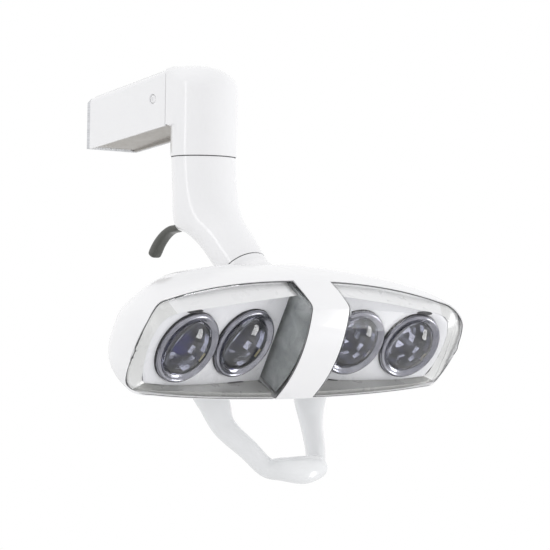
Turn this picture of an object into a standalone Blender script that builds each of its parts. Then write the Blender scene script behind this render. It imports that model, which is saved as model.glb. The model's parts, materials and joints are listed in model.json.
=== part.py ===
"""Dental operating light: the end of a sprung arm, an elbow, a neck, a ball knuckle and a lamp head.

Lengths are in millimetres and become metres when a mesh is made. X runs across the lamp, Y runs back along
the arm and Z runs up. The origin is the middle of the arm's end face. The lamp head is drawn in its own frame
(across, back, up), whose origin lies midway between the lenses and which is pitched down by HEAD_PITCH.
"""

import math

import bmesh
import bpy
from mathutils import Matrix, Vector

MM = 0.001
GAP = 0.35
SIDES = (("left", -1), ("right", 1))

# Arm
ARM_HALF = 23.0
ARM_FRONT = -97.5
ARM_TOP = 33.7
ARM_TOP_SLOPE = 0.147
ARM_CROWN = 3.5
ARM_EDGE = -6.6
ARM_EDGE_SLOPE = 0.13
ARM_WALL = 1.8
SEAM_LEAN = 0.22
UNDER_FRONT = -1.7
UNDER_SLOPE = 0.167
END_PLATE = 4.0
COVER_SCREW_Y, COVER_SCREW_Z = -82.6, 13.5

# Lift hinge between the arm and the elbow, and the levelling rod under it
LIFT_Y, LIFT_Z = -98.0, 31.0
LUG = 3.7
ROD_Y, ROD_Z = -101.7, 6.0
ROD_RADIUS = 2.6

# Elbow barrel, turning axis of the neck
BARREL_Y = -114.2
BARREL_RADIUS = 24.0
BARREL_BASE = -29.0
BARREL_FLOOR = -5.0
ELBOW_BACK = -98.5
ELBOW_WALL = 2.4

# Neck: (front y, front z, back y, back z, half width) of sections from the barrel to the knuckle
NECK_SECTIONS = (
    (-137.5, -29.6, -90.9, -29.6, 23.3),
    (-139.0, -44.0, -92.0, -45.0, 23.2),
    (-141.5, -57.0, -92.2, -60.0, 22.8),
    (-146.0, -67.0, -91.4, -73.0, 22.0),
    (-152.0, -75.5, -94.5, -81.0, 21.0),
    (-158.5, -82.0, -107.0, -85.0, 19.8),
    (-164.5, -87.8, -122.0, -94.5, 18.6),
    (-169.6, -93.0, -136.5, -108.0, 17.6),
    (-174.2, -97.8, -148.6, -120.2, 17.0),
)
KNUCKLE_LEAN = math.radians(49.0)
KNUCKLE_Y, KNUCKLE_Z = -172.6, -121.8
KNUCKLE_SEAM = 17.0
KNUCKLE_RADIUS = 17.0
BALL_RADIUS = 20.0

# Brake lever at the heel of the neck: (y, z, thickness) along its middle line
LEVER_PIVOT = (-99.5, -71.0)
LEVER_WIDTH = 9.0
LEVER_LINE = (
    (-99.5, -71.0, 7.0),
    (-94.0, -76.5, 6.2),
    (-86.5, -79.6, 5.6),
    (-78.8, -80.9, 5.8),
    (-71.0, -84.7, 6.4),
    (-64.0, -90.7, 7.4),
    (-59.2, -97.0, 8.2),
    (-57.0, -100.6, 6.5),
)

# Lamp head
HEAD_Y, HEAD_Z = -219.0, -158.0
HEAD_PITCH = math.radians(28.0)
HEAD_HALF = 146.1
BAND_HALF = 16.5
SHELL_WALL = 1.5
WINDOW_WALL = 1.8
WINDOW_START = 17.3
WINDOW_INSET = 1.6
SOCKET_RADIUS = 22.8
SOCKET_CHEEK = 11.5
SPLIT = 0.72
LENS_SPACING = 51.05
FIRST_LENS = (49.5, -3.6)
OPTIC_TURN = math.radians(5.7)
BEZEL_RADIUS = 25.0
LENS_RADIUS = 19.4
# Trim plate: (outwards, up) of its edge from the middle of the inner lens
PLATE_OUTLINE = (
    (-30.1, -31.9),
    (-5.0, -31.7),
    (23.0, -30.9),
    (51.0, -29.2),
    (77.0, -25.2),
    (82.5, -14.0),
    (84.3, 0.0),
    (83.3, 11.0),
    (79.0, 20.5),
    (70.5, 25.8),
    (50.5, 29.5),
    (10.5, 34.6),
    (-30.1, 37.2),
)

# Handle: (half span, back, up, width across, thickness) from the head down to the middle of the bar
HANDLE_LINE = (
    (46.6, 35.0, -14.0, 26.0, 16.0),
    (48.5, 37.8, -30.6, 26.3, 15.7),
    (43.3, 34.3, -43.4, 26.0, 14.6),
    (39.5, 27.9, -59.0, 18.3, 13.8),
    (30.0, 13.2, -74.0, 14.9, 13.4),
    (22.6, 3.7, -84.9, 13.9, 13.0),
    (15.9, -4.3, -85.9, 16.0, 13.0),
    (0.0, -7.2, -87.0, 19.3, 13.7),
)

FINISHES = {
    "white_enamel": ((0.86, 0.86, 0.87), 0.25, 0.0),
    "warm_grey_plastic": ((0.42, 0.40, 0.38), 0.5, 0.0),
    "steel": ((0.62, 0.62, 0.64), 0.3, 1.0),
    "aluminium": ((0.7, 0.71, 0.73), 0.4, 1.0),
    "bronze": ((0.55, 0.38, 0.2), 0.4, 1.0),
    "grey_green_plastic": ((0.1, 0.105, 0.09), 0.45, 0.0),
    "clear_cover": ((0.88, 0.9, 0.9), 0.08, 0.0),
    "white_trim": ((0.84, 0.84, 0.86), 0.35, 0.0),
    "dark_bezel": ((0.12, 0.12, 0.13), 0.3, 0.6),
    "lens_glass": ((0.8, 0.83, 0.85), 0.05, 0.0),
    "reflector_chrome": ((0.2, 0.22, 0.24), 0.1, 1.0),
    "circuit_board": ((0.08, 0.2, 0.1), 0.5, 0.0),
    "led_yellow": ((0.8, 0.7, 0.2), 0.4, 0.0),
    "handle_plastic": ((0.8, 0.81, 0.82), 0.2, 0.0),
}

HEAD = Matrix.Translation(Vector((0, HEAD_Y, HEAD_Z)) * MM) @ Matrix.Rotation(HEAD_PITCH, 4, "X")
KNUCKLE = Matrix.Translation(Vector((0, KNUCKLE_Y, KNUCKLE_Z)) * MM) @ Matrix.Rotation(
    KNUCKLE_LEAN - math.pi / 2, 4, "X"
)
KNUCKLE_IN_HEAD = (HEAD.inverted() @ Vector((0, KNUCKLE_Y * MM, KNUCKLE_Z * MM))) / MM
materials = {}
frames = {"arm": (None, Matrix())}


# ---- helpers -------------------------------------------------------------------------------------------


def clear_scene():
    for obj in list(bpy.data.objects):
        bpy.data.objects.remove(obj, do_unlink=True)


def make_materials():
    for name, (colour, roughness, metallic) in FINISHES.items():
        material = bpy.data.materials.new(name)
        material.use_nodes = True
        shader = material.node_tree.nodes["Principled BSDF"]
        shader.inputs["Base Color"].default_value = (*colour, 1)
        shader.inputs["Roughness"].default_value = roughness
        shader.inputs["Metallic"].default_value = metallic
        material.diffuse_color = (*colour, 1)
        materials[name] = material


def add_frame(name, parent, matrix):
    """An empty on a joint's axis; `matrix` places it in the part's frame."""
    empty = bpy.data.objects.new(name, None)
    empty.empty_display_size = 0.02
    bpy.context.scene.collection.objects.link(empty)
    above, above_matrix = frames[parent]
    empty.parent = above
    empty.matrix_basis = above_matrix.inverted() @ matrix
    frames[name] = (empty, matrix)


def add(name, shape, finish, frame="arm", placed=None, closed=True):
    """Makes an object from (points, faces); `placed` takes its points to the part's frame."""
    points, faces = shape
    mesh = bpy.data.meshes.new(name)
    mesh.from_pydata([Vector(p) * MM for p in points], [], faces)
    if closed:
        work = bmesh.new()
        work.from_mesh(mesh)
        bmesh.ops.recalc_face_normals(work, faces=work.faces)
        work.to_mesh(mesh)
        work.free()
    empty, matrix = frames[frame]
    mesh.transform(matrix.inverted() @ (placed or Matrix()))
    mesh.shade_smooth()
    mesh.set_sharp_from_angle(angle=math.radians(35))
    obj = bpy.data.objects.new(name, mesh)
    obj.parent = empty
    bpy.context.scene.collection.objects.link(obj)
    if finish:
        mesh.materials.append(materials[finish])
    else:
        obj.hide_render = True
        obj.display_type = "WIRE"
    return obj


def boolean(obj, other, operation="DIFFERENCE"):
    modifier = obj.modifiers.new(other.name, "BOOLEAN")
    modifier.operation = operation
    modifier.solver = "EXACT"
    modifier.object = other
    return obj


def cut(obj, name, shape, frame="arm", placed=None):
    return boolean(obj, add(name, shape, None, frame, placed))


def join(obj, name, shape, frame="arm", placed=None):
    return boolean(obj, add(name, shape, None, frame, placed), "UNION")


def thicken(obj, wall):
    """Gives an open surface a wall on its inner side."""
    modifier = obj.modifiers.new("wall", "SOLIDIFY")
    modifier.thickness = wall * MM
    modifier.offset = -1
    modifier.use_even_offset = True
    modifier.use_quality_normals = True


def lofted(rings, round_trip=True, capped=True):
    """Skin over rings that hold equally many points."""
    count = len(rings[0])
    points = [Vector(p) for ring in rings for p in ring]
    faces = []
    for row in range(len(rings) - 1):
        for k in range(count if round_trip else count - 1):
            near, far = row * count + k, row * count + (k + 1) % count
            faces.append((near, far, far + count, near + count))
    if capped:
        faces.append(tuple(reversed(range(count))))
        faces.append(tuple(range(len(points) - count, len(points))))
    return points, faces


def turned(profile, segments=32, hollow=False):
    """Solid turned about Z from (radius, height) pairs; a hollow one's profile closes on itself."""
    points, rows, faces = [], [], []
    for radius, height in profile:
        sides = segments if radius else 1
        rows.append([len(points) + k for k in range(sides)])
        for k in range(sides):
            angle = 2 * math.pi * k / segments
            points.append(Vector((radius * math.cos(angle), radius * math.sin(angle), height)))
    for low, high in list(zip(rows, rows[1:])) + ([(rows[-1], rows[0])] if hollow else []):
        for k in range(segments):
            corners = (low, k), (low, k + 1), (high, k + 1), (high, k)
            face = [row[index % len(row)] for row, index in corners]
            faces.append(tuple(dict.fromkeys(face)))
    return points, faces


def rod(radius, low, high, segments=24):
    return turned(((0, low), (radius, low), (radius, high), (0, high)), segments)


def tube(inner, outer, low, high, segments=24):
    return turned(((inner, low), (outer, low), (outer, high), (inner, high)), segments, hollow=True)


def boxed(low, high):
    corners = ((0, 0), (1, 0), (1, 1), (0, 1))
    ends = (low, high)
    rings = [[(ends[x][0], ends[y][1], ends[z][2]) for x, y in corners] for z in (0, 1)]
    return lofted(rings)


def extruded(outline, low, high):
    """Prism of a (y, z) outline between two x."""
    return lofted([[(x, y, z) for y, z in outline] for x in (low, high)])


def across(x=0.0, y=0.0, z=0.0):
    """Turns Z to X and moves to a point in millimetres."""
    return Matrix.Translation(Vector((x, y, z)) * MM) @ Matrix.Rotation(math.pi / 2, 4, "Y")


def at(x=0.0, y=0.0, z=0.0):
    return Matrix.Translation(Vector((x, y, z)) * MM)


def mix(low, high, share):
    return low + (high - low) * share


def blended(rows, place):
    """Catmull-Rom value between equally long rows, at a place counted in rows."""
    index = min(int(place), len(rows) - 2)
    t = place - index
    before, start, end, after = (
        rows[min(max(index + step, 0), len(rows) - 1)] for step in (-1, 0, 1, 2)
    )
    return tuple(
        0.5 * (2 * b + (c - a) * t + (2 * a - 5 * b + 4 * c - d) * t**2 + (3 * b - a - 3 * c + d) * t**3)
        for a, b, c, d in zip(before, start, end, after)
    )


# ---- arm -----------------------------------------------------------------------------------------------


def arm_top(y):
    return ARM_TOP - ARM_TOP_SLOPE * (y - ARM_FRONT)


def arm_edge(y):
    return ARM_EDGE - ARM_EDGE_SLOPE * (y - ARM_FRONT)


def under_level(y):
    return UNDER_FRONT - UNDER_SLOPE * (y - ARM_FRONT)


def arm_section(y, inset):
    """Outline of the cover at y, over the top from edge to edge."""
    half, top = ARM_HALF - inset, arm_top(y) - inset
    corner = 4.0 - inset * 0.6
    outline = [(-half, arm_edge(y)), (-half, top - corner)]
    for angle in (30, 60):
        swing = math.radians(angle)
        outline.append((-half + corner * (1 - math.cos(swing)), top - corner * (1 - math.sin(swing))))
    for share in (0.78, 0.5, 0.25):
        outline.append((-half * share, top + ARM_CROWN * (1 - share**2)))
    return outline + [(0, top + ARM_CROWN)] + [(-x, z) for x, z in reversed(outline)]


def arm_ring(y, eased):
    """Closed outline of the cover's wall; the end at the elbow is eased back near its top."""
    ring = arm_section(y, 0) + list(reversed(arm_section(y, ARM_WALL)))
    return [(x, y + eased * max(0.0, z - LIFT_Z - 2), z) for x, z in ring]


def along_arm(section, front, back=-END_PLATE - GAP):
    """Bar whose outline at each end comes from section(y)."""
    return lofted([[(x, y, z) for x, z in section(y)] for y in (front, back)])


def lower_cover_section(y):
    """Panel with its two edges turned down to the upper cover's edges."""
    half, panel, edge = 20.7, under_level(y), arm_edge(y) + 0.3
    inner = half - ARM_WALL
    low = [(half, edge), (half, panel + ARM_WALL), (-half, panel + ARM_WALL), (-half, edge)]
    return low + [(-inner, edge), (-inner, panel), (inner, panel), (inner, edge)]


def beam_section(y):
    half, wall = 12.0, 2.5
    top, low = arm_top(y) - 5.5, under_level(y) + 8.0
    outer = [(-half, low), (-half, top), (half, top), (half, low)]
    inner = [(half - wall, low), (half - wall, top - wall), (wall - half, top - wall)]
    return outer + inner + [(wall - half, low)]


def make_beam():
    beam = add("arm_beam", along_arm(beam_section, -92.0), "aluminium")
    ear = ((-86.0, 22.0), (-86.0, 30.5), (LIFT_Y, LIFT_Z + 3.2), (LIFT_Y - 3.2, LIFT_Z), (LIFT_Y - 2.0, 28.0))
    ear += ((-92.0, 23.0),)
    for side, sign in SIDES:
        low, high = sorted((sign * 5.2, sign * 8.6))
        join(beam, f"beam_ear_{side}", extruded(ear, low, high))
        low, high = sorted((sign * 8.0, sign * 12.5))
        join(beam, f"beam_boss_{side}", rod(4.5, low, high), placed=across(0, COVER_SCREW_Y, COVER_SCREW_Z))
    cut(beam, "cut_lift_bore", rod(1.9, -15, 15, 16), placed=across(0, LIFT_Y, LIFT_Z))
    cut(beam, "cut_screw_bore", rod(2.3, -15, 15, 16), placed=across(0, COVER_SCREW_Y, COVER_SCREW_Z))


def make_arm():
    rings = [arm_ring(ARM_FRONT, SEAM_LEAN), arm_ring(-END_PLATE - GAP, 0)]
    cover = add("arm_upper_cover", lofted(rings), "white_enamel")
    add("arm_lower_cover", along_arm(lower_cover_section, -97.0), "warm_grey_plastic")
    make_beam()
    screw = ((0, 8.6), (1.9, 8.6), (1.9, 20.0), (2.9, 20.4), (2.9, 22.6), (2.2, 22.9), (0, 22.9))
    for side, sign in SIDES:
        outwards = at(0, COVER_SCREW_Y, COVER_SCREW_Z) @ Matrix.Rotation(sign * math.pi / 2, 4, "Y")
        cut(cover, f"cut_cover_hole_{side}", rod(3.3, 20, 26), placed=outwards)
        add(f"cover_screw_{side}", turned(screw, 16), "white_enamel", placed=outwards)
    add("lift_pin", rod(1.6, -9.6, 9.6, 16), "steel", placed=across(0, LIFT_Y, LIFT_Z))
    half, top = ARM_HALF - 0.5, arm_top(0)
    plate = [(-half, arm_edge(0) + 0.5), (-half, top - 3), (-half + 3.5, top + 0.5)]
    plate = plate + [(0, top + ARM_CROWN - 0.5)] + [(-x, z) for x, z in reversed(plate)]
    add("arm_end_plate", lofted([[(x, y, z) for x, z in plate] for y in (-END_PLATE, 0)]), "aluminium")


def make_rod():
    """Levelling rod: it slides in the beam and its slotted eye holds the elbow's rod pin with clearance."""
    pose = at(0, ROD_Y, ROD_Z) @ Matrix.Rotation(math.pi / 2 - math.atan(ARM_TOP_SLOPE), 4, "X")
    add_frame("rod_axis", "arm", pose)
    body = add("levelling_rod", rod(ROD_RADIUS, -80.0, -5.5, 16), "steel", "rod_axis", pose)
    eye = ((-3.6, -3.6), (4.6, -3.9), (8.2, -2.7), (8.2, 3.3), (4.6, 6.5), (-3.0, 6.5))
    eye += ((-5.9, 3.1), (-5.7, -2.0))
    join(body, "rod_eye_blank", extruded([(ROD_Y + y, ROD_Z + z) for y, z in eye], -2.6, 2.6), "rod_axis")
    slot = []
    for k in range(12):
        y, z = 2.6 * math.cos(math.radians(15 + 30 * k)), 2.6 * math.sin(math.radians(15 + 30 * k))
        slot.append((ROD_Y + y, ROD_Z + z + (2.0 if z > 0 else -0.4)))
    cut(body, "cut_rod_slot", extruded(slot, -6, 6), "rod_axis")


# ---- elbow ---------------------------------------------------------------------------------------------


def elbow_plan(inset, back):
    """Plan outline: round in front, straight at the sides and flat at the back."""
    radius = BARREL_RADIUS - inset
    turns = (math.pi * k / 14 for k in range(15))
    front = [(radius * math.cos(a), BARREL_Y - radius * math.sin(a)) for a in turns]
    side = [(-23.6 + inset, -106.0), (-23.2 + inset, back)]
    return front + side + [(-11.6, back), (0, back), (11.6, back)] + [(-x, y) for x, y in reversed(side)]


def barrel_plan(radius):
    """Round outline whose points match those of elbow_plan."""
    degrees = [-180 * k / 14 for k in range(15)] + [160, 135, 112, 90, 68, 45, 20]
    turns = (math.radians(d) for d in degrees)
    return [(radius * math.cos(a), BARREL_Y + radius * math.sin(a)) for a in turns]


def roof_level(x, y, inset):
    """Height of the domed roof; it drops from the arm to the front of the barrel."""
    y = min(y, ELBOW_BACK)
    edge = 20.5 + 13.2 * max(0.0, (y - BARREL_Y + BARREL_RADIUS) / 39.7) ** 2.4
    reach = max(0.0, 1 - ((y + 103.0) / 35.8) ** 2) if y < -103.0 else 1.0
    crown = 20.5 + 17.2 * math.sqrt(reach)
    half = BARREL_RADIUS
    if y < BARREL_Y:
        half = math.sqrt(max(1.0, BARREL_RADIUS**2 - (y - BARREL_Y) ** 2))
    return edge + (crown - edge) * max(0.0, 1 - (x / half) ** 2) ** 0.6 - inset


def elbow_shape(inset, back, base, shoulder):
    rings = []
    if base < shoulder - 2:
        rings = [[(x, y, z) for x, y in barrel_plan(BARREL_RADIUS - inset)] for z in (base, shoulder - 0.6)]
    plan = elbow_plan(inset, back)
    rings.append([(x, y, shoulder) for x, y in plan])
    middle = (0.0, -114.0)
    for share in (1.0, 0.985, 0.9, 0.74, 0.5, 0.2):
        ring = []
        for x, y in plan:
            px, py = x * share, mix(middle[1], y, share)
            level = roof_level(px, py, inset)
            if share == 1.0:
                level = roof_level(x, y, inset) - 1.6
            ring.append((px, py, level))
        rings.append(ring)
    return lofted(rings)


def ease_back(shape, slope):
    """Leans the elbow's back edge forward near its top so that the arm's cover clears it."""
    points, faces = shape
    for p in points:
        if p.y > ELBOW_BACK - 0.1 and p.z > LIFT_Z + 2:
            p.y -= slope * (p.z - LIFT_Z - 2)
    return points, faces


def make_elbow():
    add_frame("lift_axis", "arm", at(0, LIFT_Y, LIFT_Z))
    shape = ease_back(elbow_shape(0, ELBOW_BACK, BARREL_BASE, -6.0), SEAM_LEAN)
    housing = add("elbow_housing", shape, "white_enamel", "lift_axis")
    hollow = elbow_shape(ELBOW_WALL, -90.0, BARREL_FLOOR, BARREL_FLOOR)
    cut(housing, "cut_elbow_hollow", hollow, "lift_axis")
    barrel, pivot, rod_end = at(0, BARREL_Y, 0), across(0, LIFT_Y, LIFT_Z), across(0, ROD_Y, ROD_Z)
    cut(housing, "cut_elbow_bore", rod(12.0, BARREL_BASE - 2, BARREL_FLOOR + 3), "lift_axis", barrel)
    foot = boxed((-19.5, -102.9, -4.6), (19.5, -97.6, -1.2))
    bracket = add("elbow_bracket", foot, "aluminium", "lift_axis")
    post = ((-102.9, -2.0), (-97.4, -2.0), (-97.0, 17.0), (-104.9, 17.0), (-106.2, 10.0))
    post += ((-106.2, 3.0), (-102.9, 1.4))
    for side, low, high in (("left", -8.0, -3.4), ("right", 3.4, 8.0)):
        join(bracket, f"rod_post_{side}", extruded(post, low, high), "lift_axis")
    head = [(-104.0, 20.0), (-106.2, 8.0), (-97.2, 8.0), (-95.0, 26.0)]
    turns = (math.pi * k / 6 for k in range(7))
    head += [(LIFT_Y + LUG * math.cos(a), LIFT_Z + LUG * math.sin(a)) for a in turns]
    join(bracket, "lift_post", extruded(head, -4.6, 4.6), "lift_axis")
    space = ((-112.0, -0.9), (-92.0, -0.9), (-92.0, 14.5), (-112.0, 14.5))
    cut(bracket, "cut_rod_space", extruded(space, -3.2, 3.2), "lift_axis")
    cut(bracket, "cut_bracket_lift_bore", rod(2.6, -12, 12, 16), "lift_axis", pivot)
    cut(bracket, "cut_bracket_rod_bore", rod(2.1, -12, 12, 16), "lift_axis", rod_end)
    add("lift_bush", tube(1.9, 2.3, -4.6, 4.6, 16), "bronze", "lift_axis", pivot)
    add("rod_pin", rod(1.8, -8.6, 8.6, 16), "steel", "lift_axis", rod_end)
    sleeve = tube(9.4, 11.7, BARREL_BASE + 0.3, BARREL_FLOOR - 0.3)
    add("pan_sleeve", sleeve, "bronze", "lift_axis", barrel)


# ---- neck ----------------------------------------------------------------------------------------------


def neck_ring(place, inset, sides=22):
    front_y, front_z, back_y, back_z, half = blended(NECK_SECTIONS, place)
    front, back = Vector((0, front_y, front_z)), Vector((0, back_y, back_z))
    middle, reach = (front + back) / 2, (back - front).length / 2 - inset
    along = (back - front).normalized()
    side = Vector((half - inset, 0, 0))
    turns = (2 * math.pi * k / sides for k in range(sides))
    return [middle + along * reach * math.cos(a) + side * math.sin(a) for a in turns]


def make_neck():
    add_frame("pan_axis", "lift_axis", at(0, BARREL_Y, BARREL_BASE))
    barrel = at(0, BARREL_Y, 0)
    last = len(NECK_SECTIONS) - 1
    outside = lofted([neck_ring(k / 2, 0) for k in range(2 * last + 1)])
    neck = add("neck_shell", outside, "white_enamel", "pan_axis")
    hollow = lofted([neck_ring(1 + k / 2, 3.0, 14) for k in range(2 * last - 2)])
    cut(neck, "cut_neck_hollow", hollow, "pan_axis")
    cut(neck, "cut_neck_top_bore", rod(9.4, -50, -20), "pan_axis", barrel)
    cut(neck, "cut_neck_end_bore", rod(9.4, 10, 32), "pan_axis", KNUCKLE)
    slot = ((-105.0, -65.0), (-105.0, -78.0), (-84.0, -92.0), (-80.0, -76.5), (-90.0, -73.5), (-97.0, -65.0))
    cut(neck, "cut_lever_slot", extruded(slot, -LEVER_WIDTH / 2 - 1, LEVER_WIDTH / 2 + 1), "pan_axis")
    spindle = ((5.0, -56.0), (13.0, -56.0), (13.0, -46.0), (9.0, -46.0), (9.0, 0.7), (5.0, 0.7))
    add("pan_spindle", turned(spindle, 24, hollow=True), "steel", "pan_axis", barrel)
    add("pan_washer", tube(9.4, 11.0, -4.6, -3.4), "bronze", "pan_axis", barrel)
    add("pan_nut", tube(9.3, 11.0, -3.1, 0.4), "steel", "pan_axis", barrel)
    add("swivel_bush", tube(8.35, 9.1, 17.6, 27.5), "bronze", "pan_axis", KNUCKLE)
    add("lever_pin", rod(1.7, -12.5, 12.5, 16), "steel", "pan_axis", across(0, *LEVER_PIVOT))
    cut(neck, "cut_lever_pin_bore", rod(2.05, -13.0, 13.0, 16), "pan_axis", across(0, *LEVER_PIVOT))


def make_lever():
    add_frame("lever_axis", "pan_axis", at(0, *LEVER_PIVOT))
    last = len(LEVER_LINE) - 1
    rings = []
    for k in range(2 * last + 1):
        y, z, thickness = blended(LEVER_LINE, k / 2)
        ahead = blended(LEVER_LINE, min(k / 2 + 0.2, last))
        behind = blended(LEVER_LINE, max(k / 2 - 0.2, 0))
        normal = Vector((0, behind[1] - ahead[1], ahead[0] - behind[0])).normalized()
        ring = []
        for turn in range(12):
            a = 2 * math.pi * (turn + 0.5) / 12
            side = math.copysign(abs(math.cos(a)) ** 0.6, math.cos(a)) * LEVER_WIDTH / 2
            rise = math.copysign(abs(math.sin(a)) ** 0.6, math.sin(a)) * thickness / 2
            ring.append(Vector((side, y, z)) + normal * rise)
        rings.append(ring)
    pivot = across(0, *LEVER_PIVOT)
    lever = add("brake_lever", lofted(rings), "grey_green_plastic", "lever_axis")
    join(lever, "lever_boss", rod(4.2, -LEVER_WIDTH / 2, LEVER_WIDTH / 2), "lever_axis", pivot)
    cut(lever, "cut_lever_bore", rod(2.05, -8, 8, 16), "lever_axis", pivot)


# ---- knuckle -------------------------------------------------------------------------------------------


def make_knuckle():
    add_frame("swivel_axis", "pan_axis", KNUCKLE)
    profile = [(5.0, -15.0), (13.0, -15.0)]
    for degrees in (-40, -25, -10, 0, 10, 20, 28):
        a = math.radians(degrees)
        profile.append((BALL_RADIUS * math.cos(a), BALL_RADIUS * math.sin(a)))
    profile += [(KNUCKLE_RADIUS, 12.6), (KNUCKLE_RADIUS, KNUCKLE_SEAM - 0.6), (5.0, KNUCKLE_SEAM - 0.6)]
    ball = add("knuckle_ball", turned(profile, 24, hollow=True), "white_enamel", "swivel_axis", KNUCKLE)
    cut(ball, "cut_axle_bore", rod(5.35, -30, 30, 20), "swivel_axis", KNUCKLE @ across())
    cut(ball, "cut_spindle_bore", rod(8.35, 7.0, 30, 20), "swivel_axis", KNUCKLE)
    add("swivel_spindle", tube(4.6, 8.0, 7.3, 32.4), "steel", "swivel_axis", KNUCKLE)
    add("swivel_nut", tube(8.3, 10.6, 28.6, 32.0), "steel", "swivel_axis", KNUCKLE)
    add("tilt_axle", rod(5.0, -29.0, 29.0, 20), "steel", "swivel_axis", KNUCKLE @ across())
    for side, low in (("left", -22.6), ("right", 21.0)):
        washer = tube(5.35, 9.0, low, low + 1.6, 20)
        add(f"tilt_washer_{side}", washer, "bronze", "swivel_axis", KNUCKLE @ across())


# ---- lamp head -----------------------------------------------------------------------------------------


def top_edge(x):
    """(back, up) of the windows' upper edge, up to the corner at x = 131."""
    share = abs(x) / 126
    return 6.8 - 9.3 * share**3, 42.6 - 11.0 * share**2


def bottom_edge(x):
    share = abs(x) / 132
    return -16.5 + 1.6 * share**4, -36.2 + 6.0 * share**2


def front_outline():
    """Right half of the windows' outline from the top middle round the end to the bottom middle."""
    spans = (0, 8, BAND_HALF, 32, 48, 64, 80, 95, 109, 121, 130)
    upper = [(x, *top_edge(x)) for x in spans]
    end = [(136.5, -7.0, 27.8), (142.0, -11.0, 21.8), (144.6, -12.2, 14.0), (145.9, -12.4, 4.0)]
    end += [(HEAD_HALF, -12.2, -7.0), (145.0, -11.2, -17.5), (142.2, -11.0, -25.0), (137.0, -13.0, -29.0)]
    lower = [(x, *bottom_edge(x)) for x in reversed(spans)]
    return [Vector(p) for p in upper + end + lower]


def whole_outline():
    right = front_outline()
    left = [Vector((-p.x, p.y, p.z)) for p in reversed(right[1:-1])]
    return right + left


def shell_point(start, turn, share, grow=0.0):
    """Point of the rear shell between the front outline and the socket's rim; `turn` is round the rim."""
    lean = KNUCKLE_LEAN - HEAD_PITCH
    axis_back = Vector((0, math.cos(lean), math.sin(lean)))
    axis_up = Vector((0, -axis_back.z, axis_back.y))
    side, rise = math.cos(turn), math.sin(turn)
    rim = KNUCKLE_IN_HEAD + Vector((SOCKET_RADIUS + 0.4, 0, 0)) * side + axis_up * SOCKET_RADIUS * rise
    rim += axis_back * (SOCKET_CHEEK * side**2)
    outward = Vector((start.x - rim.x, 0, start.z - rim.z))
    reach = outward.length
    outward.normalize()
    depth = rim.y - start.y
    flat = abs(start.x) / HEAD_HALF
    shoulder = flat**2 * max(0.0, min(1.0, start.z / 30))
    first = start + Vector((0, (mix(0.25, 0.81, flat) - 0.16 * shoulder) * depth, 0))
    first += outward * (mix(1.0, 3.5, flat**2) + shoulder)
    second = rim + outward * (mix(0.2, 0.3, flat) - 0.27 * shoulder) * reach
    second.y += mix(-2.0, 0.0, flat)
    start, rim = start + outward * grow, rim + axis_back * grow
    first, second = first + outward * grow, second + (outward + Vector((0, 1, 0))) * grow
    t, s = share, 1 - share
    return start * s**3 + first * (3 * s * s * t) + second * (3 * s * t * t) + rim * t**3


def rim_turns(outline):
    """Angle round the socket's rim for each outline point, spread by length along the outline."""
    count = len(outline)
    lengths = [(outline[(k + 1) % count] - outline[k]).length ** 0.5 for k in range(count)]
    total, run, turns = sum(lengths), 0.0, []
    for length in lengths:
        turns.append(math.pi / 2 - 2 * math.pi * run / total)
        run += length
    return turns


def shell_rings(shares, grow=0.0):
    outline = whole_outline()
    turns = rim_turns(outline)
    return [[shell_point(p, turn, share, grow) for p, turn in zip(outline, turns)] for share in shares]


def crease(x):
    """(back, up) of the line where a window's top turns into its front."""
    share = (abs(x) / 142) ** 2
    return -19.2 + 8.1 * share, 37.1 - 15.3 * share


def front_line(x, upper, lower, rows):
    """Points down the front at x, from the upper edge over the crease to the lower edge."""
    back, up = crease(x)
    if up > upper.z - 2.5:
        back, up = upper.y - 0.8, upper.z - 2.5
    bulge = (7.3 - 5.8 * min(1.0, abs(x) / 142) ** 2) * min(1.0, (upper.z - lower.z) / 40)
    points = [upper, Vector((x, mix(upper.y, back, 0.62), mix(upper.z, up, 0.5))), Vector((x, back, up))]
    for k in range(1, rows):
        share = k / rows
        arc = 4 * share * (1 - share) * bulge
        points.append(Vector((x, mix(back, lower.y, share) - arc, mix(up, lower.z, share))))
    return points + [lower]


def make_front_shell():
    """White shell with the band between the windows; the band shares the outline's middle points."""
    rings = shell_rings((0.0, 0.06, 0.18, 0.34, 0.52, SPLIT - 0.004))
    points, faces = lofted(rings, capped=False)
    count = len(rings[0])
    middle = len(front_outline()) - 1
    columns = [(k % count, (middle - k) % count) for k in (-2, -1, 0, 1, 2)]
    rows = 6
    grid = []
    for top, bottom in columns:
        line = front_line(points[top].x, points[top], points[bottom], rows)
        grid.append([top] + list(range(len(points), len(points) + len(line) - 2)) + [bottom])
        points.extend(line[1:-1])
    for left, right in zip(grid, grid[1:]):
        for k in range(len(left) - 1):
            faces.append((left[k], left[k + 1], right[k + 1], right[k]))
    shell = add("head_shell", (points, faces), "white_enamel", "tilt_axis", HEAD, closed=False)
    thicken(shell, SHELL_WALL)
    return shell


def make_rear_cover():
    rings = shell_rings((SPLIT + 0.004, 0.84, 0.94, 1.0))
    cover = add("rear_cover", lofted(rings, capped=False), "white_enamel", "tilt_axis", HEAD, closed=False)
    thicken(cover, SHELL_WALL)
    return cover


def window_surface(side):
    """Top, front and inner side wall of one clear cover, inside the outline by a small inset."""
    inset = WINDOW_INSET
    half = front_outline()
    outline_top = half[2:16]
    outline_low = list(reversed(half[-16:-2]))
    columns = []
    for upper, lower in zip(outline_top, outline_low):
        x = max(WINDOW_START, upper.x - (inset if upper.x > 120 else 0))
        high = Vector((x, upper.y - inset * 0.3, upper.z - inset))
        low = Vector((x, lower.y, lower.z + inset))
        if high.z - low.z > 6:
            columns.append(front_line(x, high, low, 7))
    wall = [Vector((p.x, 9.0, max(-30.5, min(39.5, p.z)))) for p in columns[0]]
    columns.insert(0, wall)
    return [[Vector((side * p.x, p.y, p.z)) for p in column] for column in columns]


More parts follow.
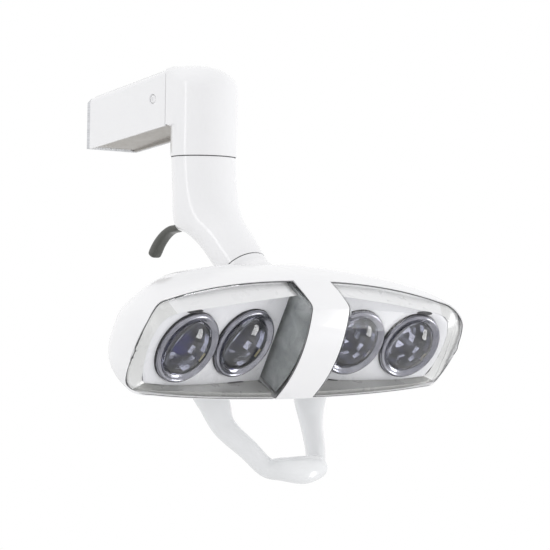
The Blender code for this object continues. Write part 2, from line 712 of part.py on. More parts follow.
def make_windows():
    for side, sign in SIDES:
        columns = window_surface(sign)
        points, faces = lofted(columns, round_trip=False, capped=False)
        if sign < 0:
            faces = [tuple(reversed(face)) for face in faces]
        window = add(f"window_{side}", (points, faces), "clear_cover", "tilt_axis", HEAD, closed=False)
        thicken(window, WINDOW_WALL)


def optic(sign, index):
    """Frame of one lens: its Z points forward out of the lamp."""
    along = index * LENS_SPACING
    x = FIRST_LENS[0] + along * math.cos(OPTIC_TURN)
    back = FIRST_LENS[1] - along * math.sin(OPTIC_TURN)
    turn = Matrix.Rotation(-sign * OPTIC_TURN, 4, "Z") @ Matrix.Rotation(math.pi / 2, 4, "X")
    return HEAD @ at(sign * x, back, 0) @ turn


def make_optics():
    bezel = ((19.8, -4.0), (BEZEL_RADIUS, -4.0), (BEZEL_RADIUS, 1.0), (23.6, 2.4), (19.8, 0.4))
    lens = [(0, -1.6), (LENS_RADIUS, -1.6), (LENS_RADIUS, 0.0)]
    lens += [(LENS_RADIUS * math.sin(a), 7.0 * math.cos(a)) for a in (math.radians(d) for d in (70, 48, 24))]
    lens += [(0, 7.0)]
    cup = ((7.0, -19.0), (13.5, -15.5), (19.3, -4.6), (19.3, -2.0), (18.2, -2.0), (12.6, -14.4), (7.0, -17.6))
    source = ((0, -21.0), (12, -21.0), (12, -19.5), (5, -19.5), (3.5, -17.4), (0, -17.0))
    for side, sign in SIDES:
        for index, place in enumerate(("inner", "outer")):
            spot, end = optic(sign, index), f"{side}_{place}"
            add(f"bezel_{end}", turned(bezel, 28, hollow=True), "dark_bezel", "tilt_axis", spot)
            add(f"lens_{end}", turned(lens, 24), "lens_glass", "tilt_axis", spot)
            add(f"reflector_{end}", turned(cup, 18, hollow=True), "reflector_chrome", "tilt_axis", spot)
            add(f"led_{end}", turned(source, 12), "led_yellow", "tilt_axis", spot)


def make_trim(side, sign):
    """White plate that fills the window's opening behind the clear cover, with a well for each bezel."""
    first = optic(sign, 0)
    rings = [[(sign * along, up, depth) for along, up in PLATE_OUTLINE] for depth in (-3.5, -1.5)]
    plate = add(f"trim_plate_{side}", lofted(rings), "white_trim", "tilt_axis", first)
    well = rod(BEZEL_RADIUS + GAP, -20, 20, 36)
    for index in range(2):
        cut(plate, f"cut_trim_{side}_{index}", well, "tilt_axis", optic(sign, index))


def make_heat_sink(side, sign):
    first = optic(sign, 0)

    def bar(near, far, low, high):
        """Box between two distances outwards from the first lens."""
        left, right = sorted((sign * near, sign * far))
        return boxed((left, *low), (right, *high))

    sink = add(f"heat_sink_{side}", bar(-14, 63, (-15, -25), (15, -21.4)), "aluminium", "tilt_axis", first)
    for fin in range(5):
        up = 6.2 * fin - 13.5
        join(sink, f"fin_{side}_{fin}", bar(-13, 43, (up, -32), (up + 2, -24)), "tilt_axis", first)


def make_yoke():
    """Steel bracket whose two lugs hold the tilt axle."""
    centre = KNUCKLE_IN_HEAD
    yoke = add("tilt_yoke", boxed((-26.8, 30.5, -4.0), (26.8, 33.5, 22.0)), "steel", "tilt_axis", HEAD)
    for side, low, high in (("left", -26.8, -23.4), ("right", 23.4, 26.8)):
        lug = [(31.0, -4.0), (31.0, 22.0), (50.0, 19.0)]
        turns = (math.radians(d) for d in (80, 40, 0, -40, -80))
        lug += [(centre.y + 7.6 * math.cos(a), centre.z + 7.6 * math.sin(a)) for a in turns]
        join(yoke, f"yoke_lug_{side}", extruded(lug, low, high), "tilt_axis", HEAD)
    cut(yoke, "cut_yoke_bore", rod(5.35, -40, 40, 20), "tilt_axis", HEAD @ across(0, centre.y, centre.z))
    add("driver_board", boxed((-14.0, 3.0, -24.0), (14.0, 4.6, 26.0)), "circuit_board", "tilt_axis", HEAD)


def handle_line():
    left = [(-x, y, z, w, t) for x, y, z, w, t in reversed(HANDLE_LINE[:-1])]
    return HANDLE_LINE + tuple(left)


def make_handle(envelope):
    line = handle_line()
    last = len(line) - 1
    rings = []
    for k in range(2 * last + 1):
        x, y, z, width, thickness = blended(line, k / 2)
        ahead, behind = blended(line, min(k / 2 + 0.25, last)), blended(line, max(k / 2 - 0.25, 0))
        run = (Vector(ahead[:3]) - Vector(behind[:3])).normalized()
        span = run.cross(Vector((0, -0.9, 0.42))).normalized()
        depth = run.cross(span).normalized()
        middle = Vector((x, y + HEAD_Y, z + HEAD_Z))
        turns = (2 * math.pi * turn / 14 for turn in range(14))
        wide, thick = span * width / 2, depth * thickness / 2
        rings.append([middle + wide * math.cos(a) + thick * math.sin(a) for a in turns])
    handle = add("handle", lofted(rings), "handle_plastic", "tilt_axis")
    boolean(handle, envelope)
    return handle


def make_envelope():
    """Closed solid a little larger than the head, for trimming what fits against it."""
    rings = shell_rings((0.0, 0.06, 0.16, 0.3, 0.45, 0.6, SPLIT, 0.8, 0.88, 0.95, 1.0), grow=0.6)
    return add("cut_envelope", lofted(rings), None, "tilt_axis", HEAD)


def make_handle_screws(handle, shell):
    for side, sign in SIDES:
        spot = HEAD @ at(sign * 46.2, 20.0, -30.6) @ Matrix.Rotation(math.radians(18), 4, "X")
        cut(shell, f"cut_screw_way_{side}", rod(2.9, -14, 8, 14), "tilt_axis", spot)
        cut(handle, f"cut_handle_hole_{side}", rod(2.35, -14, 8, 14), "tilt_axis", spot)
        screw = ((0, -12.5), (2.0, -12.5), (2.0, 2.6), (4.2, 2.9), (4.2, 5.2), (0, 5.6))
        add(f"handle_screw_{side}", turned(screw, 14), "steel", "tilt_axis", spot)


def make_head():
    pose = Matrix.Translation(Vector((0, KNUCKLE_Y, KNUCKLE_Z)) * MM) @ Matrix.Rotation(HEAD_PITCH, 4, "X")
    add_frame("tilt_axis", "swivel_axis", pose)
    shell = make_front_shell()
    make_rear_cover()
    make_windows()
    make_optics()
    for side, sign in SIDES:
        make_trim(side, sign)
        make_heat_sink(side, sign)
    make_yoke()
    handle = make_handle(make_envelope())
    make_handle_screws(handle, shell)


clear_scene()
make_materials()
make_arm()
make_rod()
make_elbow()
make_neck()
make_lever()
make_knuckle()
make_head()
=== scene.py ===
"""Looks of the dental operating light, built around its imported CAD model.

Lengths are in millimetres and become metres when a mesh is made. X runs across the lamp, Y back along the arm
and Z up. The lamp head is drawn in its own frame (across, back, up), pitched down by HEAD_PITCH.
"""

import json
import math

import bmesh
import bpy
from mathutils import Matrix, Vector

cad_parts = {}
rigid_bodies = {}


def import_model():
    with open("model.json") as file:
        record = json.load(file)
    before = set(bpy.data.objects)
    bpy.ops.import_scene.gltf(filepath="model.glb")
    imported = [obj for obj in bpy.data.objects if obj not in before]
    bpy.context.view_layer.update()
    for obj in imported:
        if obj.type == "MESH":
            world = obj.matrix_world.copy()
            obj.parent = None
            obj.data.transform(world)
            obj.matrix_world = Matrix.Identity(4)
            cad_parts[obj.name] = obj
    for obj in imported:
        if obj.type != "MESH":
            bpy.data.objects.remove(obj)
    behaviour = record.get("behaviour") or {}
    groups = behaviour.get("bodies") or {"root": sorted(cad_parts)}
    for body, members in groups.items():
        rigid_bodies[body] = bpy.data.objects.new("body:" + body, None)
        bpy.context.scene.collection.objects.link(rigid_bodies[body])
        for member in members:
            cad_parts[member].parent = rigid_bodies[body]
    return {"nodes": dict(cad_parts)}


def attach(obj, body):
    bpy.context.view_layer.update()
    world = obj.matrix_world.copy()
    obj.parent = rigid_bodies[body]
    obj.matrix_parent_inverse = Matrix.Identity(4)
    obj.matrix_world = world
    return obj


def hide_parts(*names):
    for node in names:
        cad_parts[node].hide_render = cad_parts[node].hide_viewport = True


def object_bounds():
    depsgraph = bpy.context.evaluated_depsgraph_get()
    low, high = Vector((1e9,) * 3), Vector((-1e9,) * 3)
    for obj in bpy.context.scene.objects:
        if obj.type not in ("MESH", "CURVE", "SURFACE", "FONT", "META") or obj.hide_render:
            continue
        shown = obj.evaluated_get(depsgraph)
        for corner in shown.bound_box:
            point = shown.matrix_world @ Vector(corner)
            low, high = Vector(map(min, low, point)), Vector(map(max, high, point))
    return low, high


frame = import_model()
cad_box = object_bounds()
nodes = frame["nodes"]

MM = 0.001
SIDES = (("left", -1), ("right", 1))
PLACES = ("inner", "outer")

# Arm
ARM_HALF = 23.0
ARM_FRONT = -97.5
ARM_BACK = -4.35
ARM_TOP = 33.7
ARM_TOP_SLOPE = 0.147
ARM_CROWN = 3.5
ARM_CORNER = 4.0
ARM_EDGE = -6.6
ARM_EDGE_SLOPE = 0.13
ARM_WALL = 1.8
UNDER_HALF = 20.7
UNDER_FRONT = -1.7
UNDER_SLOPE = 0.167
SCREW_Y, SCREW_Z = -82.6, 13.5
SCREW_HOLE, SCREW_DISH = 3.3, 3.8

# Above SEAM_BEND the two faces of the elbow seam lean apart by SEAM_LEAN, to leave room for the lift
SEAM_BEND = 33.0
SEAM_LEAN = 0.22

# Elbow: an upright barrel on the neck's turning axis, under a roof that drops towards the front
BARREL_Y = -114.2
BARREL_RADIUS = 24.0
BARREL_BASE = -29.0
BARREL_FLOOR = -5.0
SHOULDER = -6.0
ELBOW_BACK = -98.5
ELBOW_WALL = 2.4
ELBOW_FRONT_STEPS = 42
WALL_TOP = 18.0
ROOF_FRONT, ROOF_MIDDLE = 20.5, -114.0
ROOF_RISE, ROOF_LENGTH = 13.2, 39.7
CROWN_RISE, CROWN_LENGTH = 17.2, 35.8
CROWN_START = -103.0

# Neck: (front y, front z, back y, back z, half width) of sections from the barrel to the knuckle
NECK_SECTIONS = (
    (-137.5, -29.6, -90.9, -29.6, 23.3),
    (-139.0, -44.0, -92.0, -45.0, 23.2),
    (-141.5, -57.0, -92.2, -60.0, 22.8),
    (-146.0, -67.0, -91.4, -73.0, 22.0),
    (-152.0, -75.5, -94.5, -81.0, 21.0),
    (-158.5, -82.0, -107.0, -85.0, 19.8),
    (-164.5, -87.8, -122.0, -94.5, 18.6),
    (-169.6, -93.0, -136.5, -108.0, 17.6),
    (-174.2, -97.8, -148.6, -120.2, 17.0),
)
KNUCKLE_LEAN = math.radians(49.0)
KNUCKLE_Y, KNUCKLE_Z = -172.6, -121.8
KNUCKLE_SEAM = 17.0
KNUCKLE_RADIUS = 17.0
BALL_RADIUS = 20.0

# Brake lever: (y, z, thickness) along its middle line
LEVER_WIDTH = 9.0
LEVER_LINE = (
    (-99.5, -71.0, 7.0),
    (-94.0, -76.5, 6.2),
    (-86.5, -79.6, 5.6),
    (-78.8, -80.9, 5.8),
    (-71.0, -84.7, 6.4),
    (-64.0, -90.7, 7.4),
    (-59.2, -97.0, 8.2),
    (-57.0, -100.6, 6.5),
)

# Lamp head
HEAD_Y, HEAD_Z = -219.0, -158.0
HEAD_PITCH = math.radians(28.0)
HEAD_HALF = 146.1
BAND_HALF = 16.5
SHELL_WALL = 1.5
WINDOW_WALL = 1.8
WINDOW_START = 17.3
WINDOW_INSET = 1.1
SOCKET_RADIUS = 22.8
SOCKET_CHEEK = 11.5
SPLIT = 0.72
OUTLINE_STEPS = 3
BAND_POINT, END_POINT = 2, 15  # places in front_outline() of the band's edge and the widest point
LENS_SPACING = 51.05
FIRST_LENS = (49.5, -3.6)
OPTIC_TURN = math.radians(5.7)
BEZEL_RADIUS = 25.0
LENS_RADIUS = 19.4
RING_SIDES, DOME_SIDES, CUP_SIDES, SOURCE_SIDES = 96, 72, 20, 40

# Trim plate: (outwards, up) of its edge from the middle of the inner lens
PLATE_OUTLINE = (
    (-30.1, -31.9),
    (-5.0, -31.7),
    (23.0, -30.9),
    (51.0, -29.2),
    (77.0, -25.2),
    (82.5, -14.0),
    (84.3, 0.0),
    (83.3, 11.0),
    (79.0, 20.5),
    (70.5, 25.8),
    (50.5, 29.5),
    (10.5, 34.6),
    (-30.1, 37.2),
)

# Handle: (half span, back, up, width, thickness) from the head down to the middle of its bar
HANDLE_LINE = (
    (46.6, 35.0, -14.0, 26.0, 16.0),
    (48.5, 37.8, -30.6, 26.3, 15.7),
    (43.3, 34.3, -43.4, 26.0, 14.6),
    (39.5, 27.9, -59.0, 18.3, 13.8),
    (30.0, 13.2, -74.0, 14.9, 13.4),
    (22.6, 3.7, -84.9, 13.9, 13.0),
    (15.9, -4.3, -85.9, 16.0, 13.0),
    (0.0, -7.2, -87.0, 19.3, 13.7),
)

# Camera (turns in degrees: azimuth, elevation, roll) and studio, in metres and watts
CAMERA_PLACE = (-0.81151, -1.12933, -0.12670)
CAMERA_TURNS = (-40.98, -0.60, -0.95)
CAMERA_LENS, CAMERA_SENSOR = 117.82, 36.0
FLOOR_LEVEL, FLOOR_RADIUS = -1.05, 4.5
LIGHT_AIM = (0, -0.15, -0.1)
LIGHTS = (
    ("strip_left", (-1.25, 0.25, 0.2), 0.14, 1.0, 0.9),
    ("softbox", (1.56, -1.4, -0.56), 0.44, 0.8, 7.0),
)
SKY_STRENGTH = 1.09

HEAD = Matrix.Translation(Vector((0, HEAD_Y, HEAD_Z)) * MM) @ Matrix.Rotation(HEAD_PITCH, 4, "X")
KNUCKLE = Matrix.Translation(Vector((0, KNUCKLE_Y, KNUCKLE_Z)) * MM) @ Matrix.Rotation(
    KNUCKLE_LEAN - math.pi / 2, 4, "X"
)
KNUCKLE_IN_HEAD = (HEAD.inverted() @ Vector((0, KNUCKLE_Y * MM, KNUCKLE_Z * MM))) / MM


# ---- materials ----


class Shader:
    """A Principled material and short calls for the nodes that feed it."""

    def __init__(self, name, colour, roughness, metallic=0.0, **sockets):
        self.material = bpy.data.materials.new(name)
        self.material.use_nodes = True
        self.tree = self.material.node_tree
        self.shader = self.tree.nodes["Principled BSDF"]
        self.colour = (*colour, 1)
        self.set("Base Color", self.colour)
        self.set("Roughness", roughness)
        self.set("Metallic", metallic)
        for socket, value in sockets.items():
            self.set(socket.replace("_", " "), value)
        self.material.diffuse_color = self.colour
        self.where = self.node("ShaderNodeTexCoord").outputs["Object"]

    def set(self, socket, value):
        self.shader.inputs[socket].default_value = value

    def node(self, kind, **values):
        made = self.tree.nodes.new(kind)
        for key, value in values.items():
            setattr(made, key, value)
        return made

    def link(self, source, target):
        self.tree.links.new(source, target)

    def noise(self, scale, detail=2.0, stretch=None, distortion=0.0):
        """Noise value; `stretch` scales the three axes so that the pattern runs along one."""
        made = self.node("ShaderNodeTexNoise")
        made.inputs["Scale"].default_value = scale
        made.inputs["Detail"].default_value = detail
        made.inputs["Distortion"].default_value = distortion
        place = self.where
        if stretch:
            mapping = self.node("ShaderNodeMapping")
            mapping.inputs["Scale"].default_value = stretch
            self.link(place, mapping.inputs["Vector"])
            place = mapping.outputs["Vector"]
        self.link(place, made.inputs["Vector"])
        return made.outputs["Fac"]

    def spread(self, value, low, high, start=0.3, end=0.7):
        """Maps a pattern onto the numbers between low and high."""
        made = self.node("ShaderNodeMapRange")
        for socket, number in (("From Min", start), ("From Max", end), ("To Min", low), ("To Max", high)):
            made.inputs[socket].default_value = number
        self.link(value, made.inputs["Value"])
        return made.outputs["Result"]

    def ramp(self, value, *stops):
        """Colours of a pattern: each stop is (place, colour)."""
        made = self.node("ShaderNodeValToRGB")
        points = made.color_ramp.elements
        while len(points) < len(stops):
            points.new(0.5)
        for point, (place, colour) in zip(points, stops):
            point.position = place
            point.color = (*colour, 1)
        self.link(value, made.inputs["Fac"])
        return made.outputs["Color"]

    def mix(self, factor, first, second, blend="MIX"):
        made = self.node("ShaderNodeMix", data_type="RGBA", blend_type=blend)
        for socket, value in ((made.inputs[0], factor), (made.inputs[6], first), (made.inputs[7], second)):
            if isinstance(value, bpy.types.NodeSocket):
                self.link(value, socket)
            else:
                socket.default_value = value
        return made.outputs[2]

    def paint(self, colour):
        self.link(colour, self.shader.inputs["Base Color"])

    def rough(self, value):
        self.link(value, self.shader.inputs["Roughness"])

    def bump(self, height, depth, strength=1.0):
        """Bump from a pattern; depth in millimetres."""
        made = self.node("ShaderNodeBump")
        made.inputs["Strength"].default_value = strength
        made.inputs["Distance"].default_value = depth * MM
        self.link(height, made.inputs["Height"])
        self.link(made.outputs["Normal"], self.shader.inputs["Normal"])


def shade(colour, factor):
    return tuple(min(1.0, c * factor) for c in colour)


def moulded(name, colour, roughness, grain, depth, mottle=0.03, **sockets):
    """Moulded or painted surface: faint cloudy colour, patchy gloss and a fine grain."""
    look = Shader(name, colour, roughness, **sockets)
    cloud = look.noise(38, 4.0)
    speck = look.noise(2600, 1.0)
    tint = look.ramp(cloud, (0.3, shade(colour, 1 - mottle)), (0.7, shade(colour, 1 + mottle * 0.4)))
    grime = look.ramp(speck, (0.25, (1 - mottle, 1 - mottle, 1 - mottle)), (0.5, (1, 1, 1)))
    look.paint(look.mix(1.0, tint, grime, "MULTIPLY"))
    look.rough(look.spread(look.noise(120, 5.0, distortion=0.4), roughness * 0.8, roughness * 1.25))
    look.bump(look.noise(grain, 3.0), depth)
    return look.material


def brushed(name, colour, roughness, stretch, **sockets):
    """Machined metal with fine tool marks along one axis."""
    look = Shader(name, colour, roughness, 1.0, **sockets)
    marks = look.noise(900, 3.0, stretch)
    look.paint(look.ramp(marks, (0.3, shade(colour, 0.82)), (0.7, shade(colour, 1.08))))
    look.rough(look.spread(marks, roughness * 0.75, roughness * 1.35))
    look.bump(marks, 0.03)
    return look.material


def board_material():
    """Green circuit board with copper traces under the lacquer."""
    look = Shader("circuit_board", (0.03, 0.16, 0.07), 0.35)
    lines = look.node("ShaderNodeTexBrick")
    lines.inputs["Scale"].default_value = 160
    lines.inputs["Color1"].default_value = (0.03, 0.16, 0.07, 1)
    lines.inputs["Color2"].default_value = (0.02, 0.12, 0.05, 1)
    lines.inputs["Mortar"].default_value = (0.25, 0.3, 0.12, 1)
    look.link(look.where, lines.inputs["Vector"])
    look.paint(lines.outputs["Color"])
    look.bump(lines.outputs["Fac"], 0.05)
    return look.material


def glass(name, tint, ior, coat, haze):
    """Clear plastic or glass that lets lamps and soft light through to what lies behind it."""
    look = Shader(name, tint, 0.0, 0.0, IOR=ior, Transmission_Weight=1.0, Coat_Weight=1.0)
    look.set("Coat IOR", coat)
    look.set("Coat Roughness", 0.01)
    streak = look.noise(60, 4.0, (1, 1, 0.35))
    look.rough(look.spread(streak, 0.0, haze, 0.4, 0.8))
    look.paint(look.ramp(look.noise(25, 2.0), (0.3, shade(tint, 0.97)), (0.7, tint)))
    look.bump(look.noise(28, 1.0), 0.02, 0.3)
    path = look.node("ShaderNodeLightPath")
    clear = look.node("ShaderNodeBsdfTransparent")
    clear.inputs["Color"].default_value = (*shade(tint, 0.97), 1)
    either = look.node("ShaderNodeMath", operation="MAXIMUM")
    look.link(path.outputs["Is Shadow Ray"], either.inputs[0])
    look.link(path.outputs["Is Diffuse Ray"], either.inputs[1])
    both = look.node("ShaderNodeMixShader")
    look.link(either.outputs["Value"], both.inputs["Fac"])
    look.link(look.shader.outputs["BSDF"], both.inputs[1])
    look.link(clear.outputs["BSDF"], both.inputs[2])
    look.link(both.outputs["Shader"], look.tree.nodes["Material Output"].inputs["Surface"])
    return look.material


def bezel_material():
    """Dark satin chrome with faint turning marks."""
    look = Shader("dark_bezel", (0.33, 0.33, 0.37), 0.16, 1.0)
    cloud = look.noise(60, 3.0)
    look.paint(look.ramp(cloud, (0.3, (0.24, 0.24, 0.28)), (0.7, (0.38, 0.38, 0.42))))
    look.rough(look.spread(look.noise(300, 3.0), 0.1, 0.2))
    look.bump(look.noise(1500, 1.0), 0.004)
    return look.material


def gap_shade_material():
    """Side wall between the clear cover and the band, cloudy and half glossy; its dark grey is painted shade
    of the gap behind the cover.
    """
    look = Shader("gap_shade_grey", (0.3, 0.32, 0.33), 0.22, Coat_Weight=0.7)
    cloud = look.noise(55, 5.0, distortion=0.8)
    dark, middle, pale = (0.24, 0.26, 0.265), (0.38, 0.4, 0.41), (0.55, 0.56, 0.58)
    look.paint(look.ramp(cloud, (0.3, dark), (0.55, middle), (0.75, pale)))
    look.rough(look.spread(look.noise(90, 3.0), 0.12, 0.4))
    look.bump(look.noise(70, 3.0), 0.2, 0.5)
    return look.material


def reflector_material():
    """Inside of a reflector cup: dark mirror in cloudy patches, faintly violet; the dark is painted shade and
    the bright patches are painted reflections.
    """
    look = Shader("reflector_chrome", (0.3, 0.3, 0.32), 0.12, 1.0)
    cloud = look.noise(70, 3.0, distortion=0.6)
    dark, grey, bright = (0.012, 0.01, 0.09), (0.03, 0.03, 0.035), (0.4, 0.41, 0.44)
    look.paint(look.ramp(cloud, (0.32, dark), (0.52, grey), (0.74, bright)))
    look.rough(look.spread(look.noise(160, 3.0), 0.08, 0.22))
    look.bump(look.noise(140, 2.0), 0.25, 0.5)
    return look.material


def led_material():
    """Yellow phosphor in the middle of a round white board."""
    look = Shader("led_phosphor", (0.85, 0.7, 0.2), 0.5)
    look.paint(look.ramp(look.noise(500, 2.0), (0.35, (0.75, 0.6, 0.14)), (0.65, (0.88, 0.78, 0.35))))
    look.rough(look.spread(look.noise(300, 2.0), 0.4, 0.6))
    look.bump(look.noise(2000, 2.0), 0.02)
    return look.material


WHITE = (0.87, 0.87, 0.88)
LACQUER = {"Coat_Weight": 0.6, "Coat_Roughness": 0.04}
POLISH = {"Coat_Weight": 0.5, "Coat_Roughness": 0.06}
SATIN = {"Coat_Weight": 0.3, "Coat_Roughness": 0.15}
FINISH = {
    "white": moulded("white_enamel", WHITE, 0.17, 420, 0.012, 0.012, **LACQUER),
    "handle": moulded("handle_plastic", (0.8, 0.81, 0.82), 0.22, 500, 0.015, 0.02, **POLISH),
    "trim": moulded("white_trim", (0.85, 0.85, 0.88), 0.3, 900, 0.02, 0.02),
    # Grey of the arm's underside panel: painted shade standing in for the shadow under the white arm
    "under": moulded("warm_grey_plastic", (0.44, 0.42, 0.39), 0.45, 1500, 0.05, 0.06),
    "lever": moulded("grey_green_plastic", (0.06, 0.062, 0.053), 0.35, 900, 0.03, 0.06, **SATIN),
    "bezel": bezel_material(),
    # Dark seals; the same black also paints the shade in the elbow seam's gap and in the clip openings
    "seal_and_gap_shade": moulded("black_seal_and_shade", (0.05, 0.05, 0.055), 0.6, 1800, 0.05, 0.1),
    "painted_gap_wall": gap_shade_material(),
    "aluminium": brushed("aluminium", (0.68, 0.69, 0.71), 0.33, (1, 0.08, 1)),
    "steel": brushed("steel", (0.6, 0.6, 0.62), 0.26, (0.08, 1, 1)),
    "bronze": brushed("bronze", (0.56, 0.39, 0.21), 0.35, (1, 1, 0.1)),
    "board": board_material(),
    "clear": glass("clear_cover", (0.992, 0.994, 0.993), 1.04, 1.14, 0.02),
    "lens": glass("lens_glass", (0.86, 0.87, 0.98), 1.12, 1.6, 0.01),
    "lens_back": glass("lens_back", (0.95, 0.95, 1.0), 1.12, 1.05, 0.01),
    "led_board": moulded("led_board", (0.7, 0.71, 0.74), 0.3, 900, 0.02, 0.1),
    "tray": moulded("tray_white", WHITE, 0.3, 900, 0.02, 0.03, Coat_Weight=0.3),
    # Lit and shaded copies of the white tray lining: painted shade at its end and bottom
    "tray_end_shade": moulded("tray_end_shade", (0.76, 0.76, 0.755), 0.3, 900, 0.02, 0.06, Coat_Weight=0.3),
    "tray_shade": moulded("tray_shade", (0.36, 0.36, 0.35), 0.3, 900, 0.02, 0.08, Coat_Weight=0.3),
    # Near-black back and outer flank of each bezel ring: painted shade
    "bezel_flank_shade": moulded("bezel_flank_shade", (0.03, 0.03, 0.035), 0.3, 700, 0.01, 0.05),
    "reflector": reflector_material(),
    # Bright chrome for scattered facets of the cup: painted glints
    "glint_facet": brushed("facet_painted_glint", (0.8, 0.81, 0.84), 0.08, (1, 1, 1)),
    "led": led_material(),
}


# ---- shapes ----


def mesh_from(name, shape, placed=None, mend=True):
    """Mesh of (points, faces) in millimetres; mending turns all its faces outwards."""
    points, faces = shape
    mesh = bpy.data.meshes.new(name)
    mesh.from_pydata([Vector(p) * MM for p in points], [], faces)
    if mend:
        work = bmesh.new()
        work.from_mesh(mesh)
        bmesh.ops.recalc_face_normals(work, faces=work.faces)
        work.to_mesh(mesh)
        work.free()
    if placed:
        mesh.transform(placed)
    return mesh


def add_object(name, data):
    obj = bpy.data.objects.new(name, data)
    bpy.context.scene.collection.objects.link(obj)
    return obj


def smooth(mesh, angle):
    """Shades a mesh smooth, but sharp where it turns by more than an angle in degrees."""
    mesh.shade_smooth()
    mesh.set_sharp_from_angle(angle=math.radians(angle))


def piece(name, shape, finish, body, replaces=(), placed=None, angle=40, mend=True):
    """Makes a piece and lets it ride on a CAD body."""
    mesh = mesh_from(name, shape, placed, mend)
    smooth(mesh, angle)
    mesh.materials.append(FINISH[finish])
    obj = add_object(name, mesh)
    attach(obj, body)
    if replaces:
        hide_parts(*replaces)
    return obj


def bevel(obj, width, segments=3, angle=35):
    modifier = obj.modifiers.new("edges", "BEVEL")
    modifier.width = width * MM
    modifier.segments = segments
    modifier.limit_method = "ANGLE"
    modifier.angle_limit = math.radians(angle)
    modifier.harden_normals = True
    return obj


def thicken(obj, wall):
    modifier = obj.modifiers.new("wall", "SOLIDIFY")
    modifier.thickness = wall * MM
    modifier.offset = -1
    modifier.use_even_offset = True
    modifier.use_quality_normals = True
    return obj


def cut(obj, name, shape, placed=None):
    """Cuts a shape out of a piece, for good."""
    other = add_object(name, mesh_from(name, shape, placed))
    modifier = obj.modifiers.new(name, "BOOLEAN")
    modifier.operation = "DIFFERENCE"
    modifier.solver = "EXACT"
    modifier.object = other
    bpy.context.view_layer.update()
    evaluated = obj.evaluated_get(bpy.context.evaluated_depsgraph_get())
    mesh = bpy.data.meshes.new_from_object(evaluated)
    obj.modifiers.clear()
    obj.data = mesh
    bpy.data.objects.remove(other)


def lofted(rings, round_trip=True, capped=True):
    """Skin over rings that hold equally many points."""
    count = len(rings[0])
    points = [Vector(p) for ring in rings for p in ring]
    faces = []
    for row in range(len(rings) - 1):
        for k in range(count if round_trip else count - 1):
            near, far = row * count + k, row * count + (k + 1) % count
            faces.append((near, far, far + count, near + count))
    if capped:
        faces.append(tuple(reversed(range(count))))
        faces.append(tuple(range(len(points) - count, len(points))))
    return points, faces


def turned(profile, segments=64, hollow=False):
    """Solid turned about Z from (radius, height) pairs; a hollow one's profile closes on itself."""
    points, rows, faces = [], [], []
    for radius, height in profile:
        sides = segments if radius else 1
        rows.append([len(points) + k for k in range(sides)])
        for k in range(sides):
            angle = 2 * math.pi * k / segments
            points.append(Vector((radius * math.cos(angle), radius * math.sin(angle), height)))
    for low, high in list(zip(rows, rows[1:])) + ([(rows[-1], rows[0])] if hollow else []):
        for k in range(segments):
            corners = (low, k), (low, k + 1), (high, k + 1), (high, k)
            face = [row[index % len(row)] for row, index in corners]
            faces.append(tuple(dict.fromkeys(face)))
    return points, faces


def rod(radius, low, high, segments=48):
    return turned(((0, low), (radius, low), (radius, high), (0, high)), segments)


def turns_of(count):
    """Angles that share out one full turn."""
    return [2 * math.pi * k / count for k in range(count)]


def swept(path, radius, sides=8):
    """Round tube along a closed path of points."""
    rings = []
    for k, p in enumerate(path):
        run = (path[(k + 1) % len(path)] - path[k - 1]).normalized()
        side = run.cross(Vector((0.13, 0.27, 0.95))).normalized()
        up = run.cross(side).normalized()
        rings.append([p + (side * math.cos(a) + up * math.sin(a)) * radius for a in turns_of(sides)])
    return lofted(rings + rings[:1], capped=False)


def softened(line, rounds=2):
    """Cuts the corners of a line of points, keeping its ends."""
    for _ in range(rounds):
        fresh = [line[0]]
        for first, second in zip(line, line[1:]):
            fresh += [first.lerp(second, 0.25), first.lerp(second, 0.75)]
        line = fresh + [line[-1]]
    return line


def at(x=0.0, y=0.0, z=0.0):
    return Matrix.Translation(Vector((x, y, z)) * MM)


def across(x=0.0, y=0.0, z=0.0):
    """Turns Z to X and moves to a point in millimetres."""
    return at(x, y, z) @ Matrix.Rotation(math.pi / 2, 4, "Y")


def mirrored(p, sign):
    return Vector((sign * p.x, p.y, p.z))


def mix(low, high, share):
    return low + (high - low) * share


def blended(rows, place):
    """Catmull-Rom value between equally long rows, at a place counted in rows."""
    index = min(int(place), len(rows) - 2)
    t = place - index
    before, start, end, after = (
        rows[min(max(index + step, 0), len(rows) - 1)] for step in (-1, 0, 1, 2)
    )
    return tuple(
        0.5 * (2 * b + (c - a) * t + (2 * a - 5 * b + 4 * c - d) * t**2 + (3 * b - a - 3 * c + d) * t**3)
        for a, b, c, d in zip(before, start, end, after)
    )


# ---- arm ----


def arm_top(y):
    return ARM_TOP - ARM_TOP_SLOPE * (y - ARM_FRONT)


def arm_edge(y):
    return ARM_EDGE - ARM_EDGE_SLOPE * (y - ARM_FRONT)


def under_level(y):
    return UNDER_FRONT - UNDER_SLOPE * (y - ARM_FRONT)


def arm_section(y, inset):
    """Outline of the cover at y, over the top from edge to edge."""
    half, top = ARM_HALF - inset, arm_top(y) - inset
    corner = ARM_CORNER - inset * 0.6
    outline = [(-half, arm_edge(y)), (-half, top - corner)]
    for step in range(1, 8):
        swing = math.radians(90 * step / 8)
        outline.append((-half + corner * (1 - math.cos(swing)), top - corner * (1 - math.sin(swing))))
    for share in (0.78, 0.65, 0.5, 0.38, 0.25, 0.12):
        outline.append((-half * share, top + ARM_CROWN * (1 - share**2)))
    return outline + [(0, top + ARM_CROWN)] + [(-x, z) for x, z in reversed(outline)]


def arm_ring(y, lean=0.0, shrink=0.0):
    """Outline of the cover's wall at y; above the seam's bend it leans back."""
    ring = arm_section(y, shrink) + list(reversed(arm_section(y, ARM_WALL - shrink)))
    return [(x, y + lean * max(0.0, z - SEAM_BEND), z) for x, z in ring]


